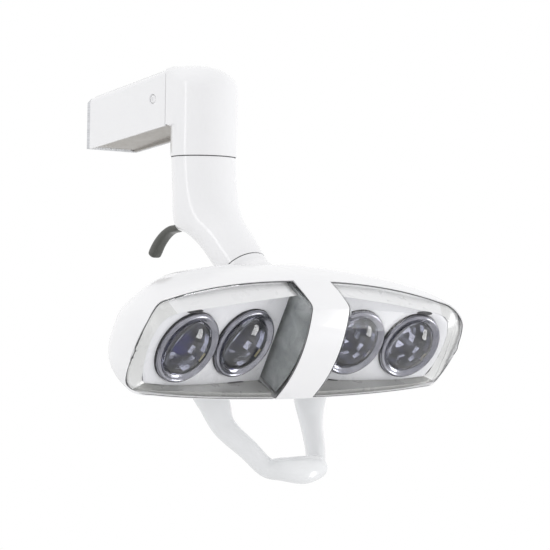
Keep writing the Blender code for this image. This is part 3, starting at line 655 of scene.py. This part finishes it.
def lower_ring(y):
    """Panel with its two edges turned down to the upper cover's edges."""
    half, panel, edge = UNDER_HALF, under_level(y), arm_edge(y) + 0.3
    inner = half - ARM_WALL
    low = [(half, edge), (half, panel + ARM_WALL), (-half, panel + ARM_WALL), (-half, edge)]
    low += [(-inner, edge), (-inner, panel), (inner, panel), (inner, edge)]
    return [(x, y, z) for x, z in low]


def make_arm():
    lip = ((0, 0.35), (0.15, 0.12), (0.5, 0))
    rings = [arm_ring(ARM_FRONT + back, SEAM_LEAN, shrink) for back, shrink in lip]
    rings += [arm_ring(y) for y in (ARM_FRONT + 12, -50, ARM_BACK)]
    cover = piece("arm_cover", lofted(rings), "white", "arm", ["arm_upper_cover"])
    for side, sign in SIDES:
        for name, radius, floor in (("hole", SCREW_HOLE, 20.0), ("dish", SCREW_DISH, 22.6)):
            low, high = sorted((sign * floor, sign * 26.0))
            cut(cover, f"cut_{name}_{side}", rod(radius, low, high), across(0, SCREW_Y, SCREW_Z))
    smooth(cover.data, 30)
    # Underside panel in the grey of painted shade
    lower = lofted([lower_ring(y) for y in (-97.0, -60, -30, ARM_BACK)])
    bevel(piece("arm_underside", lower, "under", "arm", ["arm_lower_cover"]), 0.3)
    head = [(0, 8.6), (1.9, 8.6), (1.9, 20.0), (2.9, 20.4), (2.95, 22.2), (2.75, 22.55), (2.3, 22.7)]
    head += [(1.4, 22.75), (1.3, 22.2), (0, 22.1)]
    for side, turn in (("left", math.pi), ("right", 0)):
        spin = Matrix.Rotation(turn, 4, "Z")
        placed = at(0, SCREW_Y, SCREW_Z) @ spin @ across()
        screw = turned(head, 32)
        piece(f"arm_screw_{side}", screw, "white", "arm", [f"cover_screw_{side}"], placed)


# ---- elbow ----


def elbow_plan(inset, back):
    """Plan outline: round in front, straight at the sides and flat at the back."""
    radius = BARREL_RADIUS - inset
    turns = [math.pi * k / ELBOW_FRONT_STEPS for k in range(ELBOW_FRONT_STEPS + 1)]
    front = [(radius * math.cos(a), BARREL_Y - radius * math.sin(a)) for a in turns]
    side = [(x + inset, y) for x, y in ((-23.85, -110.0), (-23.6, -106.0), (-23.35, -102.0), (-23.2, back))]
    rear = [(x, back) for x in (-17.4, -11.6, -5.8)]
    return front + side + rear + [(0, back)] + [(-x, y) for x, y in reversed(side + rear)]


def barrel_plan(radius):
    """Round outline whose points match those of elbow_plan."""
    count = len(elbow_plan(0, ELBOW_BACK))
    rear = count - ELBOW_FRONT_STEPS - 1
    turns = [-math.pi * k / ELBOW_FRONT_STEPS for k in range(ELBOW_FRONT_STEPS + 1)]
    turns += [math.pi - math.pi * (k + 1) / (rear + 1) for k in range(rear)]
    return [(radius * math.cos(a), BARREL_Y + radius * math.sin(a)) for a in turns]


def roof_level(x, y, inset):
    """Height of the domed roof; it drops from the arm to the front of the barrel."""
    y = min(y, ELBOW_BACK)
    edge = ROOF_FRONT + ROOF_RISE * max(0.0, (y - BARREL_Y + BARREL_RADIUS) / ROOF_LENGTH) ** 2.4
    reach = max(0.0, 1 - ((y - CROWN_START) / CROWN_LENGTH) ** 2) if y < CROWN_START else 1.0
    crown = ROOF_FRONT + CROWN_RISE * math.sqrt(reach)
    half = BARREL_RADIUS
    if y < BARREL_Y:
        half = math.sqrt(max(1.0, BARREL_RADIUS**2 - (y - BARREL_Y) ** 2))
    return edge + (crown - edge) * max(0.0, 1 - (x / half) ** 2) ** 0.6 - inset


def elbow_shape(inset, back, base, shoulder):
    """Barrel up to the shoulder, walls up to the roof's edge, and the roof drawn in to its middle."""
    rings = []
    for level in (base, base + 0.4, mix(base, shoulder, 0.5), shoulder - 0.6):
        shrink = 0.35 if level == base else 0.0
        rings.append([(x, y, level) for x, y in barrel_plan(BARREL_RADIUS - inset - shrink)])
    plan = elbow_plan(inset, back)
    for level in (shoulder, mix(shoulder, WALL_TOP, 0.5)):
        rings.append([(x, y, level) for x, y in plan])
    eave = ((1.0, 3.0), (0.999, 1.7), (0.994, 0.7), (0.985, 0.15))
    roof = tuple((mix(0.97, 0.02, k / 16), 0.0) for k in range(17))
    for share, drop in eave + roof:
        ring = []
        for x, y in plan:
            px, py = x * share, mix(ROOF_MIDDLE, y, share)
            ring.append((px, py, roof_level(px, py, inset) - drop))
        rings.append(ring)
    return lofted(rings)


def make_elbow():
    points, faces = elbow_shape(0, ELBOW_BACK, BARREL_BASE, SHOULDER)
    for p in points:
        if p.y > ELBOW_BACK - 0.1:
            p.y -= SEAM_LEAN * max(0.0, p.z - SEAM_BEND)
    shell = piece("elbow_cover", (points, faces), "white", "elbow", ["elbow_housing"])
    cut(shell, "cut_elbow", elbow_shape(ELBOW_WALL, -90.0, BARREL_FLOOR, BARREL_FLOOR + 2))
    cut(shell, "cut_bore", rod(12.0, BARREL_BASE - 2, 0), at(0, BARREL_Y, 0))
    smooth(shell.data, 38)
    # Dark collar inside the seam's gap: painted shade of the gap
    collar = []
    for y in (-98.42, -98.1):
        ring = arm_section(y, 0.9) + list(reversed(arm_section(y, 1.5)))
        collar.append([(x, y - SEAM_LEAN * max(0.0, z - SEAM_BEND), z) for x, z in ring])
    piece("elbow_seam_seal", lofted(collar), "seal_and_gap_shade", "elbow")
    around = [(22.9 * math.cos(a), 22.9 * math.sin(a)) for a in turns_of(72)]
    path = [Vector((x, BARREL_Y + y, BARREL_BASE + 0.15)) for x, y in around]
    piece("pan_seal", swept(path, 0.55), "seal_and_gap_shade", "elbow")


# ---- neck, lever and knuckle ----


def neck_ring(place, inset, sides=56):
    front_y, front_z, back_y, back_z, half = blended(NECK_SECTIONS, place)
    front, back = Vector((0, front_y, front_z)), Vector((0, back_y, back_z))
    middle, reach = (front + back) / 2, (back - front).length / 2 - inset
    along = (back - front).normalized()
    side = Vector((1, 0, 0)) * (half - inset)
    return [middle + along * reach * math.cos(a) + side * math.sin(a) for a in turns_of(sides)]


def make_neck():
    last = len(NECK_SECTIONS) - 1
    places = [0.0, 0.012] + [0.04 + (last - 0.07) * k / 48 for k in range(49)] + [last - 0.012, last]
    rings = [neck_ring(p, 0.35 if p in (0.0, last) else 0.0) for p in places]
    shell = piece("neck_cover", lofted(rings), "white", "neck", ["neck_shell"])
    cut(shell, "cut_top", rod(11.5, -45, -20), at(0, BARREL_Y, 0))
    cut(shell, "cut_end", rod(9.4, 10, 24), KNUCKLE)
    slot = ((-105.0, -65.0), (-105.0, -78.0), (-84.0, -92.0), (-80.0, -76.5), (-90.0, -73.5), (-97.0, -65.0))
    half = LEVER_WIDTH / 2 + 1
    cut(shell, "cut_slot", lofted([[(x, y, z) for y, z in slot] for x in (-half, half)]))
    smooth(shell.data, 38)
    ring = [Vector((16.2 * math.cos(a), 16.2 * math.sin(a), KNUCKLE_SEAM - 0.3)) for a in turns_of(64)]
    path = [KNUCKLE @ (p * MM) / MM for p in ring]
    piece("knuckle_seal", swept(path, 0.3), "seal_and_gap_shade", "neck")


def make_lever():
    last = len(LEVER_LINE) - 1
    rings = []
    for k in range(10 * last + 1):
        y, z, thickness = blended(LEVER_LINE, k / 10)
        ahead = blended(LEVER_LINE, min(k / 10 + 0.1, last))
        behind = blended(LEVER_LINE, max(k / 10 - 0.1, 0))
        normal = Vector((0, behind[1] - ahead[1], ahead[0] - behind[0])).normalized()
        left = (last * 10 - k) / 6
        tip = math.sqrt(max(0.0, 1 - (1 - left) ** 2)) if left < 1 else 1.0
        tip = max(tip, 0.3)
        ring = []
        for a in turns_of(28):
            side = math.copysign(abs(math.cos(a)) ** 0.62, math.cos(a)) * LEVER_WIDTH / 2 * tip
            rise = math.copysign(abs(math.sin(a)) ** 0.62, math.sin(a)) * thickness / 2 * tip
            ring.append(Vector((side, y, z)) + normal * rise)
        rings.append(ring)
    piece("lever", lofted(rings), "lever", "lever", ["brake_lever"])


def make_knuckle():
    profile = [(5.0, -15.0), (12.6, -15.0), (13.3, -14.7)]
    for step in range(25):
        a = math.radians(-45 + 76 * step / 24)
        profile.append((BALL_RADIUS * math.cos(a), BALL_RADIUS * math.sin(a)))
    top = KNUCKLE_SEAM - 0.6
    profile += [(KNUCKLE_RADIUS, level) for level in (11.3, 12.4, top - 0.3)]
    profile += [(KNUCKLE_RADIUS - 0.3, top), (8.6, top), (8.6, 7.0), (5.0, 7.0)]
    ball = turned(profile, 72, hollow=True)
    piece("knuckle_cover", ball, "white", "knuckle", ["knuckle_ball"], KNUCKLE)


# ---- lamp head ----


def top_edge(x):
    """(back, up) of the windows' upper edge, up to the corner near x = 130."""
    share = abs(x) / 126
    return 6.8 - 9.3 * share**3, 42.6 - 11.0 * share**2


def bottom_edge(x):
    share = abs(x) / 132
    return -16.5 + 1.6 * share**4, -36.2 + 6.0 * share**2


def front_outline():
    """Half of the windows' outline from the top middle round the end to the bottom middle."""
    spans = (0, 8, BAND_HALF, 32, 48, 64, 80, 95, 109, 121, 130)
    upper = [(x, *top_edge(x)) for x in spans]
    end = [(136.5, -7.0, 27.8), (142.0, -11.0, 21.8), (144.6, -12.2, 14.0), (145.9, -12.4, 4.0)]
    end += [(HEAD_HALF, -12.2, -7.0), (145.0, -11.2, -17.5), (142.2, -11.0, -25.0), (137.0, -13.0, -29.0)]
    lower = [(x, *bottom_edge(x)) for x in reversed(spans)]
    return upper + end + lower


def within_head(x):
    """Keeps smoothed points inside the width of the CAD model."""
    return max(-HEAD_HALF, min(HEAD_HALF, x))


def shell_point(start, turn, share, grow=0.0):
    """Point of the rear shell on a Bezier curve from the front outline (`start`) to the socket's rim.

    `turn` is the rim point's angle, `share` the place along the curve, and `grow` moves the surface outwards.
    """
    axis_back = Vector((0, math.cos(KNUCKLE_LEAN - HEAD_PITCH), math.sin(KNUCKLE_LEAN - HEAD_PITCH)))
    axis_up = Vector((0, -axis_back.z, axis_back.y))
    side, rise = math.cos(turn), math.sin(turn)
    rim = KNUCKLE_IN_HEAD + Vector((SOCKET_RADIUS + 0.4, 0, 0)) * side + axis_up * SOCKET_RADIUS * rise
    rim += axis_back * (SOCKET_CHEEK * side**2)
    outward = Vector((start.x - rim.x, 0, start.z - rim.z))
    reach = outward.length
    outward.normalize()
    depth = rim.y - start.y
    # The curve's two handles: flat grows towards the head's ends, and shoulder towards their upper corners
    flat = abs(start.x) / HEAD_HALF
    shoulder = flat**2 * max(0.0, min(1.0, start.z / 30))
    first = start + Vector((0, (mix(0.25, 0.81, flat) - 0.16 * shoulder) * depth, 0))
    first += outward * (mix(1.0, 3.5, flat**2) + shoulder)
    second = rim + outward * (mix(0.2, 0.3, flat) - 0.27 * shoulder) * reach
    second.y += mix(-2.0, 0.0, flat)
    start, rim = start + outward * grow, rim + axis_back * grow
    first, second = first + outward * grow, second + (outward + Vector((0, 1, 0))) * grow
    t, s = share, 1 - share
    point = start * s**3 + first * (3 * s * s * t) + second * (3 * s * t * t) + rim * t**3
    point.x = within_head(point.x)
    return point


def rim_turns(outline):
    """Angle round the socket's rim for each outline point; wider steps of the outline get wider turns."""
    count = len(outline)
    lengths = [(outline[(k + 1) % count] - outline[k]).length ** 0.5 for k in range(count)]
    total, run, turns = sum(lengths), 0.0, []
    for length in lengths:
        turns.append(math.pi / 2 - 2 * math.pi * run / total)
        run += length
    return turns


def whole_outline():
    """Outline points and the rim angle of each, all the way round."""
    coarse = [Vector(p) for p in front_outline()]
    coarse += [Vector((-p.x, p.y, p.z)) for p in reversed(coarse[1:-1])]
    angles = rim_turns(coarse) + [math.pi / 2 - 2 * math.pi]
    rows = [(*p, angle) for p, angle in zip(coarse + coarse[:1], angles)]
    line = []
    for k in range(len(coarse) * OUTLINE_STEPS):
        x, y, z, angle = blended(rows, k / OUTLINE_STEPS)
        line.append((Vector((within_head(x), y, z)), angle))
    return line


def shell_rings(shares, grow=0.0):
    outline = whole_outline()
    return [[shell_point(p, turn, share, grow) for p, turn in outline] for share in shares]


def crease(x):
    """(back, up) of the line where a window's top turns into its front."""
    share = (abs(x) / 142) ** 2
    return -19.2 + 8.1 * share, 37.1 - 15.3 * share


def front_line(x, upper, lower, rows=9):
    """Points down the front at x, from the upper edge over the crease to the lower edge."""
    back, up = crease(x)
    if up > upper.z - 2.5:
        back, up = upper.y - 0.8, upper.z - 2.5
    bulge = (7.3 - 5.8 * min(1.0, abs(x) / 142) ** 2) * min(1.0, (upper.z - lower.z) / 40)
    points = [upper, Vector((x, mix(upper.y, back, 0.6), mix(upper.z, up, 0.5))), Vector((x, back, up))]
    for k in range(1, rows):
        share = (k / rows) ** 1.3
        arc = 4 * share * (1 - share) * bulge
        points.append(Vector((x, mix(back, lower.y, share) - arc, mix(up, lower.z, share))))
    return softened(points + [lower], 2)


def make_shell():
    """White shell with the band between the windows; the band shares the outline's middle points."""
    shares = [0.0, 0.006, 0.02] + [mix(0.04, SPLIT - 0.004, k / 18) for k in range(19)]
    rings = shell_rings(shares)
    points, faces = lofted(rings, capped=False)
    count = len(rings[0])
    middle = (len(front_outline()) - 1) * OUTLINE_STEPS
    reach = BAND_POINT * OUTLINE_STEPS
    columns = [(k % count, (middle - k) % count) for k in range(-reach, reach + 1)]
    grid = []
    for top, bottom in columns:
        line = front_line(points[top].x, points[top], points[bottom])
        grid.append([top] + list(range(len(points), len(points) + len(line) - 2)) + [bottom])
        points.extend(line[1:-1])
    for left, right in zip(grid, grid[1:]):
        for k in range(len(left) - 1):
            faces.append((left[k], left[k + 1], right[k + 1], right[k]))
    shares = [mix(SPLIT + 0.004, 1, k / 12) for k in range(13)]
    hatch = lofted(shell_rings(shares), capped=False)
    covers = (("head_cover", (points, faces), "head_shell"), ("rear_hatch", hatch, "rear_cover"))
    for name, shape, node in covers:
        cover = piece(name, shape, "white", "head", [node], HEAD, mend=False)
        thicken(cover, SHELL_WALL)
        bevel(cover, 0.3, 2, 55)


def window_columns():
    """Columns of points down one clear cover, from the band outwards, inside the outline by a small inset.

    The outline's points from BAND_POINT to END_POINT are the cover's top edge. The points at the same places,
    counted from the outline's other end, are its bottom edge.
    """
    half = front_outline()
    top = half[BAND_POINT : END_POINT + 1]
    low = reversed(half[-END_POINT - 1 : -BAND_POINT])
    rows = [(*a, *b) for a, b in zip(top, low)]
    columns = []
    for k in range((len(rows) - 1) * OUTLINE_STEPS + 1):
        values = blended(rows, k / OUTLINE_STEPS)
        upper, lower = Vector(values[:3]), Vector(values[3:])
        near_end = max(0.0, min(1.0, (upper.x - 112) / 8))
        x = max(WINDOW_START, upper.x - WINDOW_INSET * near_end)
        high = Vector((x, upper.y - WINDOW_INSET * 0.3, upper.z - WINDOW_INSET))
        foot = Vector((x, lower.y, lower.z + WINDOW_INSET))
        if high.z - foot.z > 6:
            columns.append(front_line(x, high, foot))
    return columns


def window_seal(columns, sign):
    """Path of the dark seal round a clear cover, just outside its rim."""
    first, last = columns[0], columns[-1]
    rim = [c[0] for c in columns] + last[1:-1] + [c[-1] for c in reversed(columns)] + first[-2:0:-1]
    path = []
    for p in rim:
        out = Vector((p.x - 80.0, 0, p.z - 2.0)).normalized()
        near_band = p.x < WINDOW_START + 0.01
        shift = Vector((-0.42, 0.15, 0)) if near_band else out * 0.3 + Vector((0, 0.1, 0))
        path.append(HEAD @ (mirrored(p + shift, sign) * MM) / MM)
    return path


def make_windows():
    """Clear covers with a wall beside the band, their seals, and dark walls inside along the band that paint
    the shade of the gap there.
    """
    columns = window_columns()
    wall = [Vector((p.x, 9.0, max(-30.5, min(39.5, p.z)))) for p in columns[0]]
    edge = [p + Vector((0, 0.8, 0)) for p in columns[0]]
    for side, sign in SIDES:
        rows = [[mirrored(p, sign) for p in column] for column in [wall, edge] + columns]
        points, faces = lofted(rows, round_trip=False, capped=False)
        if sign < 0:
            faces = [tuple(reversed(face)) for face in faces]
        name, node = f"clear_cover_{side}", f"window_{side}"
        window = piece(name, (points, faces), "clear", "head", [node], HEAD, mend=False)
        thicken(window, WINDOW_WALL).modifiers["wall"].use_even_offset = False
        piece(f"window_seal_{side}", swept(window_seal(columns, sign), 0.3, 6), "seal_and_gap_shade", "head")
        # Dark sheet along the band: painted shade of the gap between the cover and the band
        liner = []
        for p in front_line(15.6, Vector((15.6, 5.0, 40.0)), Vector((15.6, -15.0, -33.0))):
            front, back = (15.9, p.y + 2.4, p.z * 0.96), (15.9, 24.0, p.z * 0.9)
            liner.append([mirrored(Vector(front), sign), mirrored(Vector(back), sign)])
        shape = lofted(liner, round_trip=False, capped=False)
        thicken(piece(f"light_baffle_{side}", shape, "painted_gap_wall", "head", placed=HEAD), 0.6)


# ---- optics ----


def optic(sign, index):
    """Frame of one lens: its Z points forward out of the lamp."""
    along = index * LENS_SPACING
    x = FIRST_LENS[0] + along * math.cos(OPTIC_TURN)
    back = FIRST_LENS[1] - along * math.sin(OPTIC_TURN)
    turn = Matrix.Rotation(-sign * OPTIC_TURN, 4, "Z") @ Matrix.Rotation(math.pi / 2, 4, "X")
    return HEAD @ at(sign * x, back, 0) @ turn


def optic_profiles():
    """(radius, height) outlines of the bezel, lens, reflector cup and light source, forwards being up."""
    bezel = [(19.8, -4.0), (BEZEL_RADIUS, -4.0), (BEZEL_RADIUS, 0.2), (24.85, 0.9), (24.5, 1.6), (24.0, 2.1)]
    bezel += [(23.4, 2.3), (22.8, 2.2), (22.1, 1.7), (21.3, 1.1), (20.6, 0.7), (19.8, 0.4)]
    lens = [(0, -1.6), (LENS_RADIUS - 0.2, -1.6), (LENS_RADIUS, -1.4), (LENS_RADIUS, 0.0)]
    dome = [math.radians(84 - 6 * k) for k in range(14)]
    lens += [(LENS_RADIUS * math.sin(a), 7.0 * math.cos(a)) for a in dome] + [(0, 7.0)]
    shares = [k / 8 for k in range(9)]
    cup = [(mix(7.0, 19.3, t**0.7), mix(-19.0, -4.6, t**1.5)) for t in shares]
    cup += [(19.3, -2.0), (18.5, -2.0)]
    cup += [(mix(7.0, 18.5, t**0.7), mix(-18.2, -3.9, t**1.5)) for t in reversed(shares)]
    source = [(0, -21.0), (12, -21.0), (12, -19.6), (5, -19.5)]
    source += [(4.6, -18.2), (3.5, -17.4), (1.8, -17.05), (0, -17.0)]
    return bezel, lens, cup, source


def second_finish(obj, finish, sides, chosen):
    """Gives a turned piece a second material on the faces where chosen(row, segment) is true."""
    obj.data.materials.append(FINISH[finish])
    for number, face in enumerate(obj.data.polygons):
        face.material_index = int(chosen(number // sides, number % sides))


def make_optics():
    bezel, lens, cup, source = optic_profiles()
    for side, sign in SIDES:
        for index, place in enumerate(PLACES):
            spot = optic(sign, index)
            end = f"{side}_{place}"
            shape = turned(bezel, RING_SIDES, True)
            ring = piece(f"ring_{end}", shape, "bezel", "head", [f"bezel_{end}"], spot, 30)
            # Painted shade: the bezel's back and outer flank are near black
            second_finish(ring, "bezel_flank_shade", RING_SIDES, lambda row, segment: row < 2)
            shape = turned(lens, DOME_SIDES)
            dome = piece(f"dome_{end}", shape, "lens", "head", [f"lens_{end}"], spot, 50)
            second_finish(dome, "lens_back", DOME_SIDES, lambda row, segment: row == 0)
            shape = turned(cup, CUP_SIDES, True)
            bowl = piece(f"cup_{end}", shape, "reflector", "head", [f"reflector_{end}"], spot, 8)
            # The facets are real; their scattered brightness is painted glint
            second_finish(bowl, "glint_facet", CUP_SIDES, lambda row, segment: (segment * 7 + row * 3) % 11 < 3)
            shape = turned(source, SOURCE_SIDES)
            lamp = piece(f"source_{end}", shape, "led", "head", [f"led_{end}"], spot)
            second_finish(lamp, "led_board", SOURCE_SIDES, lambda row, segment: row < 3)


def make_trim():
    """Plate behind each window: a flat face round the lenses with eased edges."""
    for side, sign in SIDES:
        first = optic(sign, 0)
        rings = []
        for inwards, depth in ((0.0, -3.4), (0.0, -2.2), (1.2, -1.7), (2.2, -1.5)):
            ring = []
            for x, up in PLATE_OUTLINE:
                out = Vector((x - 27.0, (up - 2.0) * 2.2)).normalized()
                ring.append((sign * (x - out.x * inwards), up - out.y * inwards, depth))
            rings.append(ring)
        name, node = f"lens_plate_{side}", f"trim_plate_{side}"
        plate = piece(name, lofted(rings), "trim", "head", [node], first)
        for index in range(2):
            well = rod(BEZEL_RADIUS + 0.3, -20, 20, RING_SIDES)
            cut(plate, f"cut_well_{side}_{index}", well, optic(sign, index))
        bevel(plate, 0.5, 3, 30)


def tray_rows():
    """Pairs of points for the lining round a lens plate: one at the housing's edge, one at the plate's."""
    top = [(x, *top_edge(x)) for x in (19.6, 62.0, 104.0, 126.0)]
    end = [(136.5, -7.0, 27.8), (143.6, -11.8, 17.0), (145.9, -12.4, 4.0), (145.5, -11.6, -13.0)]
    low = [(137.0, -13.0, -29.0)] + [(x, *bottom_edge(x)) for x in (104.0, 75.0, 46.0, 19.6)]
    rows = []
    for rim, (along, up) in zip(top + end + low, reversed(PLATE_OUTLINE)):
        x = FIRST_LENS[0] + along * math.cos(OPTIC_TURN)
        back = FIRST_LENS[1] + 2.3 - along * math.sin(OPTIC_TURN)
        rows.append((*rim, x, back, up))
    return rows


def make_tray():
    """Lining between each lens plate and its clear cover's edge: white above; painted shade makes it greyer
    at the end and below.
    """
    rows, steps = tray_rows(), 6
    count = (len(rows) - 1) * steps + 1
    for side, sign in SIDES:
        rings = [[], [], [], []]
        for k in range(count):
            value = blended(rows, k / steps)
            rim, face = Vector(value[:3]), Vector(value[3:])
            inwards = (Vector((80.0, 0, 3.0)) - Vector((rim.x, 0, rim.z))).normalized()
            if rim.x < 100:
                inwards = Vector((0, 0, -math.copysign(1, rim.z)))
            lip = rim + inwards * 1.7 + Vector((0, 2.0, 0))
            foot = rim + inwards * 4.0 + Vector((0, 1.8 if rim.z > 20 else 2.2, 0))
            for ring, p in zip(rings, (lip, foot, face, face + Vector((0, 1.2, 0)))):
                ring.append(mirrored(p, sign))
        shape = lofted(rings, round_trip=False, capped=False)
        tray = piece(f"light_tray_{side}", shape, "tray", "head", placed=HEAD, angle=50)
        # Light grey end and dark grey bottom: painted shade on the white lining
        for finish in ("tray_end_shade", "tray_shade"):
            tray.data.materials.append(FINISH[finish])
        for index, face in enumerate(tray.data.polygons):
            place = index % (count - 1) / steps
            face.material_index = 0 if place < 3 else 1 if place < 8 else 2
        thicken(tray, 0.5)


def make_slots():
    """Flat dark patches, painted shade of the small openings for the clips that hold each plate: (outwards,
    up, width, height) of each.
    """
    spots = ((54.0, 26.0, 14.0, 2.6), (-7.0, -31.0, 15.0, 1.1))
    for side, sign in SIDES:
        first = optic(sign, 0)
        for index, (along, up, width, height) in enumerate(spots):
            shape = rod(0.5, -0.2, 0.2, 24)
            place = first @ at(sign * along, up, -1.35) @ Matrix.Diagonal((width, height, 1, 1))
            # Dark patch painting the shade inside a clip opening
            piece(f"clip_slot_{side}_{index}", shape, "seal_and_gap_shade", "head", placed=place)


# ---- handle ----


def make_handle():
    """Handle loop, kept above the CAD model's lowest point and cut to the shell."""
    line = HANDLE_LINE + tuple((-x, y, z, w, t) for x, y, z, w, t in reversed(HANDLE_LINE[:-1]))
    last = len(line) - 1
    rings = []
    for k in range(8 * last + 1):
        x, y, z, width, thickness = blended(line, k / 8)
        ahead, behind = blended(line, min(k / 8 + 0.25, last)), blended(line, max(k / 8 - 0.25, 0))
        run = (Vector(ahead[:3]) - Vector(behind[:3])).normalized()
        span = run.cross(Vector((0, -0.9, 0.42))).normalized()
        depth = run.cross(span).normalized()
        middle = Vector((x, y + HEAD_Y, z + HEAD_Z))
        ring = []
        for a in turns_of(40):
            p = middle + span * math.cos(a) * width / 2 + depth * math.sin(a) * thickness / 2
            p.z = max(p.z, cad_box[0][2] / MM)
            ring.append(p)
        rings.append(ring)
    handle = piece("handle_loop", lofted(rings), "handle", "head", ["handle"])
    shares = [k / 20 for k in range(21)]
    cut(handle, "cut_head", lofted(shell_rings(shares, 0.3)), HEAD)
    smooth(handle.data, 40)


# ---- CAD nodes that keep their shape ----


def dress_nodes():
    """Gives every CAD node that is still shown its material, and soft edges where it can be seen."""
    finishes = {
        "aluminium": "arm_beam arm_end_plate elbow_bracket heat_sink_left heat_sink_right",
        "steel": "lift_pin levelling_rod rod_pin pan_spindle pan_nut lever_pin swivel_spindle swivel_nut"
        " tilt_axle tilt_yoke handle_screw_left handle_screw_right",
        "bronze": "lift_bush pan_sleeve pan_washer swivel_bush tilt_washer_left tilt_washer_right",
        "board": "driver_board",
    }
    for finish, names in finishes.items():
        for name in names.split():
            materials = nodes[name].data.materials
            materials.clear()
            materials.append(FINISH[finish])
    bevel(nodes["arm_end_plate"], 0.6)


# ---- stage ----


def make_camera():
    """Camera at the height of the lamp, on its left front, with a long lens."""
    azimuth, elevation, roll = (math.radians(turn) for turn in CAMERA_TURNS)
    level = math.cos(elevation)
    forward = Vector((-math.sin(azimuth) * level, math.cos(azimuth) * level, -math.sin(elevation)))
    right = Vector((math.cos(azimuth), math.sin(azimuth), 0))
    down = forward.cross(right)
    c, s = math.cos(roll), math.sin(roll)
    right, down = c * right + s * down, -s * right + c * down
    data = bpy.data.cameras.new("camera")
    data.lens = CAMERA_LENS
    data.sensor_width = CAMERA_SENSOR
    data.clip_end = 100.0
    camera = add_object("camera", data)
    turn = Matrix((right, -down, -forward)).transposed()
    camera.matrix_world = Matrix.Translation(CAMERA_PLACE) @ turn.to_4x4()
    bpy.context.scene.camera = camera


def area_light(name, place, width, height, power):
    data = bpy.data.lights.new(name, "AREA")
    data.shape = "RECTANGLE"
    data.size, data.size_y = width, height
    data.energy = power
    light = add_object(name, data)
    light.location = place
    light.rotation_euler = (Vector(LIGHT_AIM) - Vector(place)).to_track_quat("-Z", "Y").to_euler()


def make_sky():
    """Soft light from all round, dimmer from below; the camera itself sees plain white."""
    world = bpy.data.worlds.new("studio")
    bpy.context.scene.world = world
    world.use_nodes = True
    tree = world.node_tree
    shaders, link = tree.nodes, tree.links.new
    where, height = shaders.new("ShaderNodeTexCoord"), shaders.new("ShaderNodeSeparateXYZ")
    sky, shift = shaders.new("ShaderNodeValToRGB"), shaders.new("ShaderNodeMapRange")
    shift.inputs["From Min"].default_value = -1
    points = sky.color_ramp.elements
    points.new(0.5)
    for point, (place, level) in zip(points, ((0.0, 0.5), (0.5, 0.9), (1.0, 0.93))):
        point.position = place
        point.color = (level, level, level * 1.005, 1)
    light, seen = shaders["Background"], shaders.new("ShaderNodeBackground")
    light.inputs["Strength"].default_value = SKY_STRENGTH
    seen.inputs["Color"].default_value = (1, 1, 1, 1)
    path, both = shaders.new("ShaderNodeLightPath"), shaders.new("ShaderNodeMixShader")
    link(where.outputs["Generated"], height.inputs["Vector"])
    link(height.outputs["Z"], shift.inputs["Value"])
    link(shift.outputs["Result"], sky.inputs["Fac"])
    link(sky.outputs["Color"], light.inputs["Color"])
    link(path.outputs["Is Camera Ray"], both.inputs["Fac"])
    link(light.outputs["Background"], both.inputs[1])
    link(seen.outputs["Background"], both.inputs[2])
    link(both.outputs["Shader"], shaders["World Output"].inputs["Surface"])


def make_floor():
    data = bpy.data.meshes.new("floor")
    ring = [(FLOOR_RADIUS * math.cos(a), FLOOR_RADIUS * math.sin(a), FLOOR_LEVEL) for a in turns_of(96)]
    data.from_pydata(ring, [], [tuple(range(96))])
    look = Shader("pale_floor", (0.82, 0.82, 0.82), 0.7)
    look.paint(look.ramp(look.noise(3, 4.0), (0.3, (0.81, 0.81, 0.81)), (0.7, (0.83, 0.83, 0.83))))
    data.materials.append(look.material)
    add_object("floor", data)


for spare in [o for o in bpy.data.objects if o.type in ("CAMERA", "LIGHT") or o.name == "Cube"]:
    bpy.data.objects.remove(spare)
make_camera()
make_sky()
for name, *values in LIGHTS:
    area_light(name, *values)
make_floor()
bpy.context.scene.view_settings.view_transform = "Standard"
make_arm()
make_elbow()
make_neck()
make_lever()
make_knuckle()
make_shell()
make_windows()
make_optics()
make_trim()
make_tray()
make_slots()
make_handle()
dress_nodes()
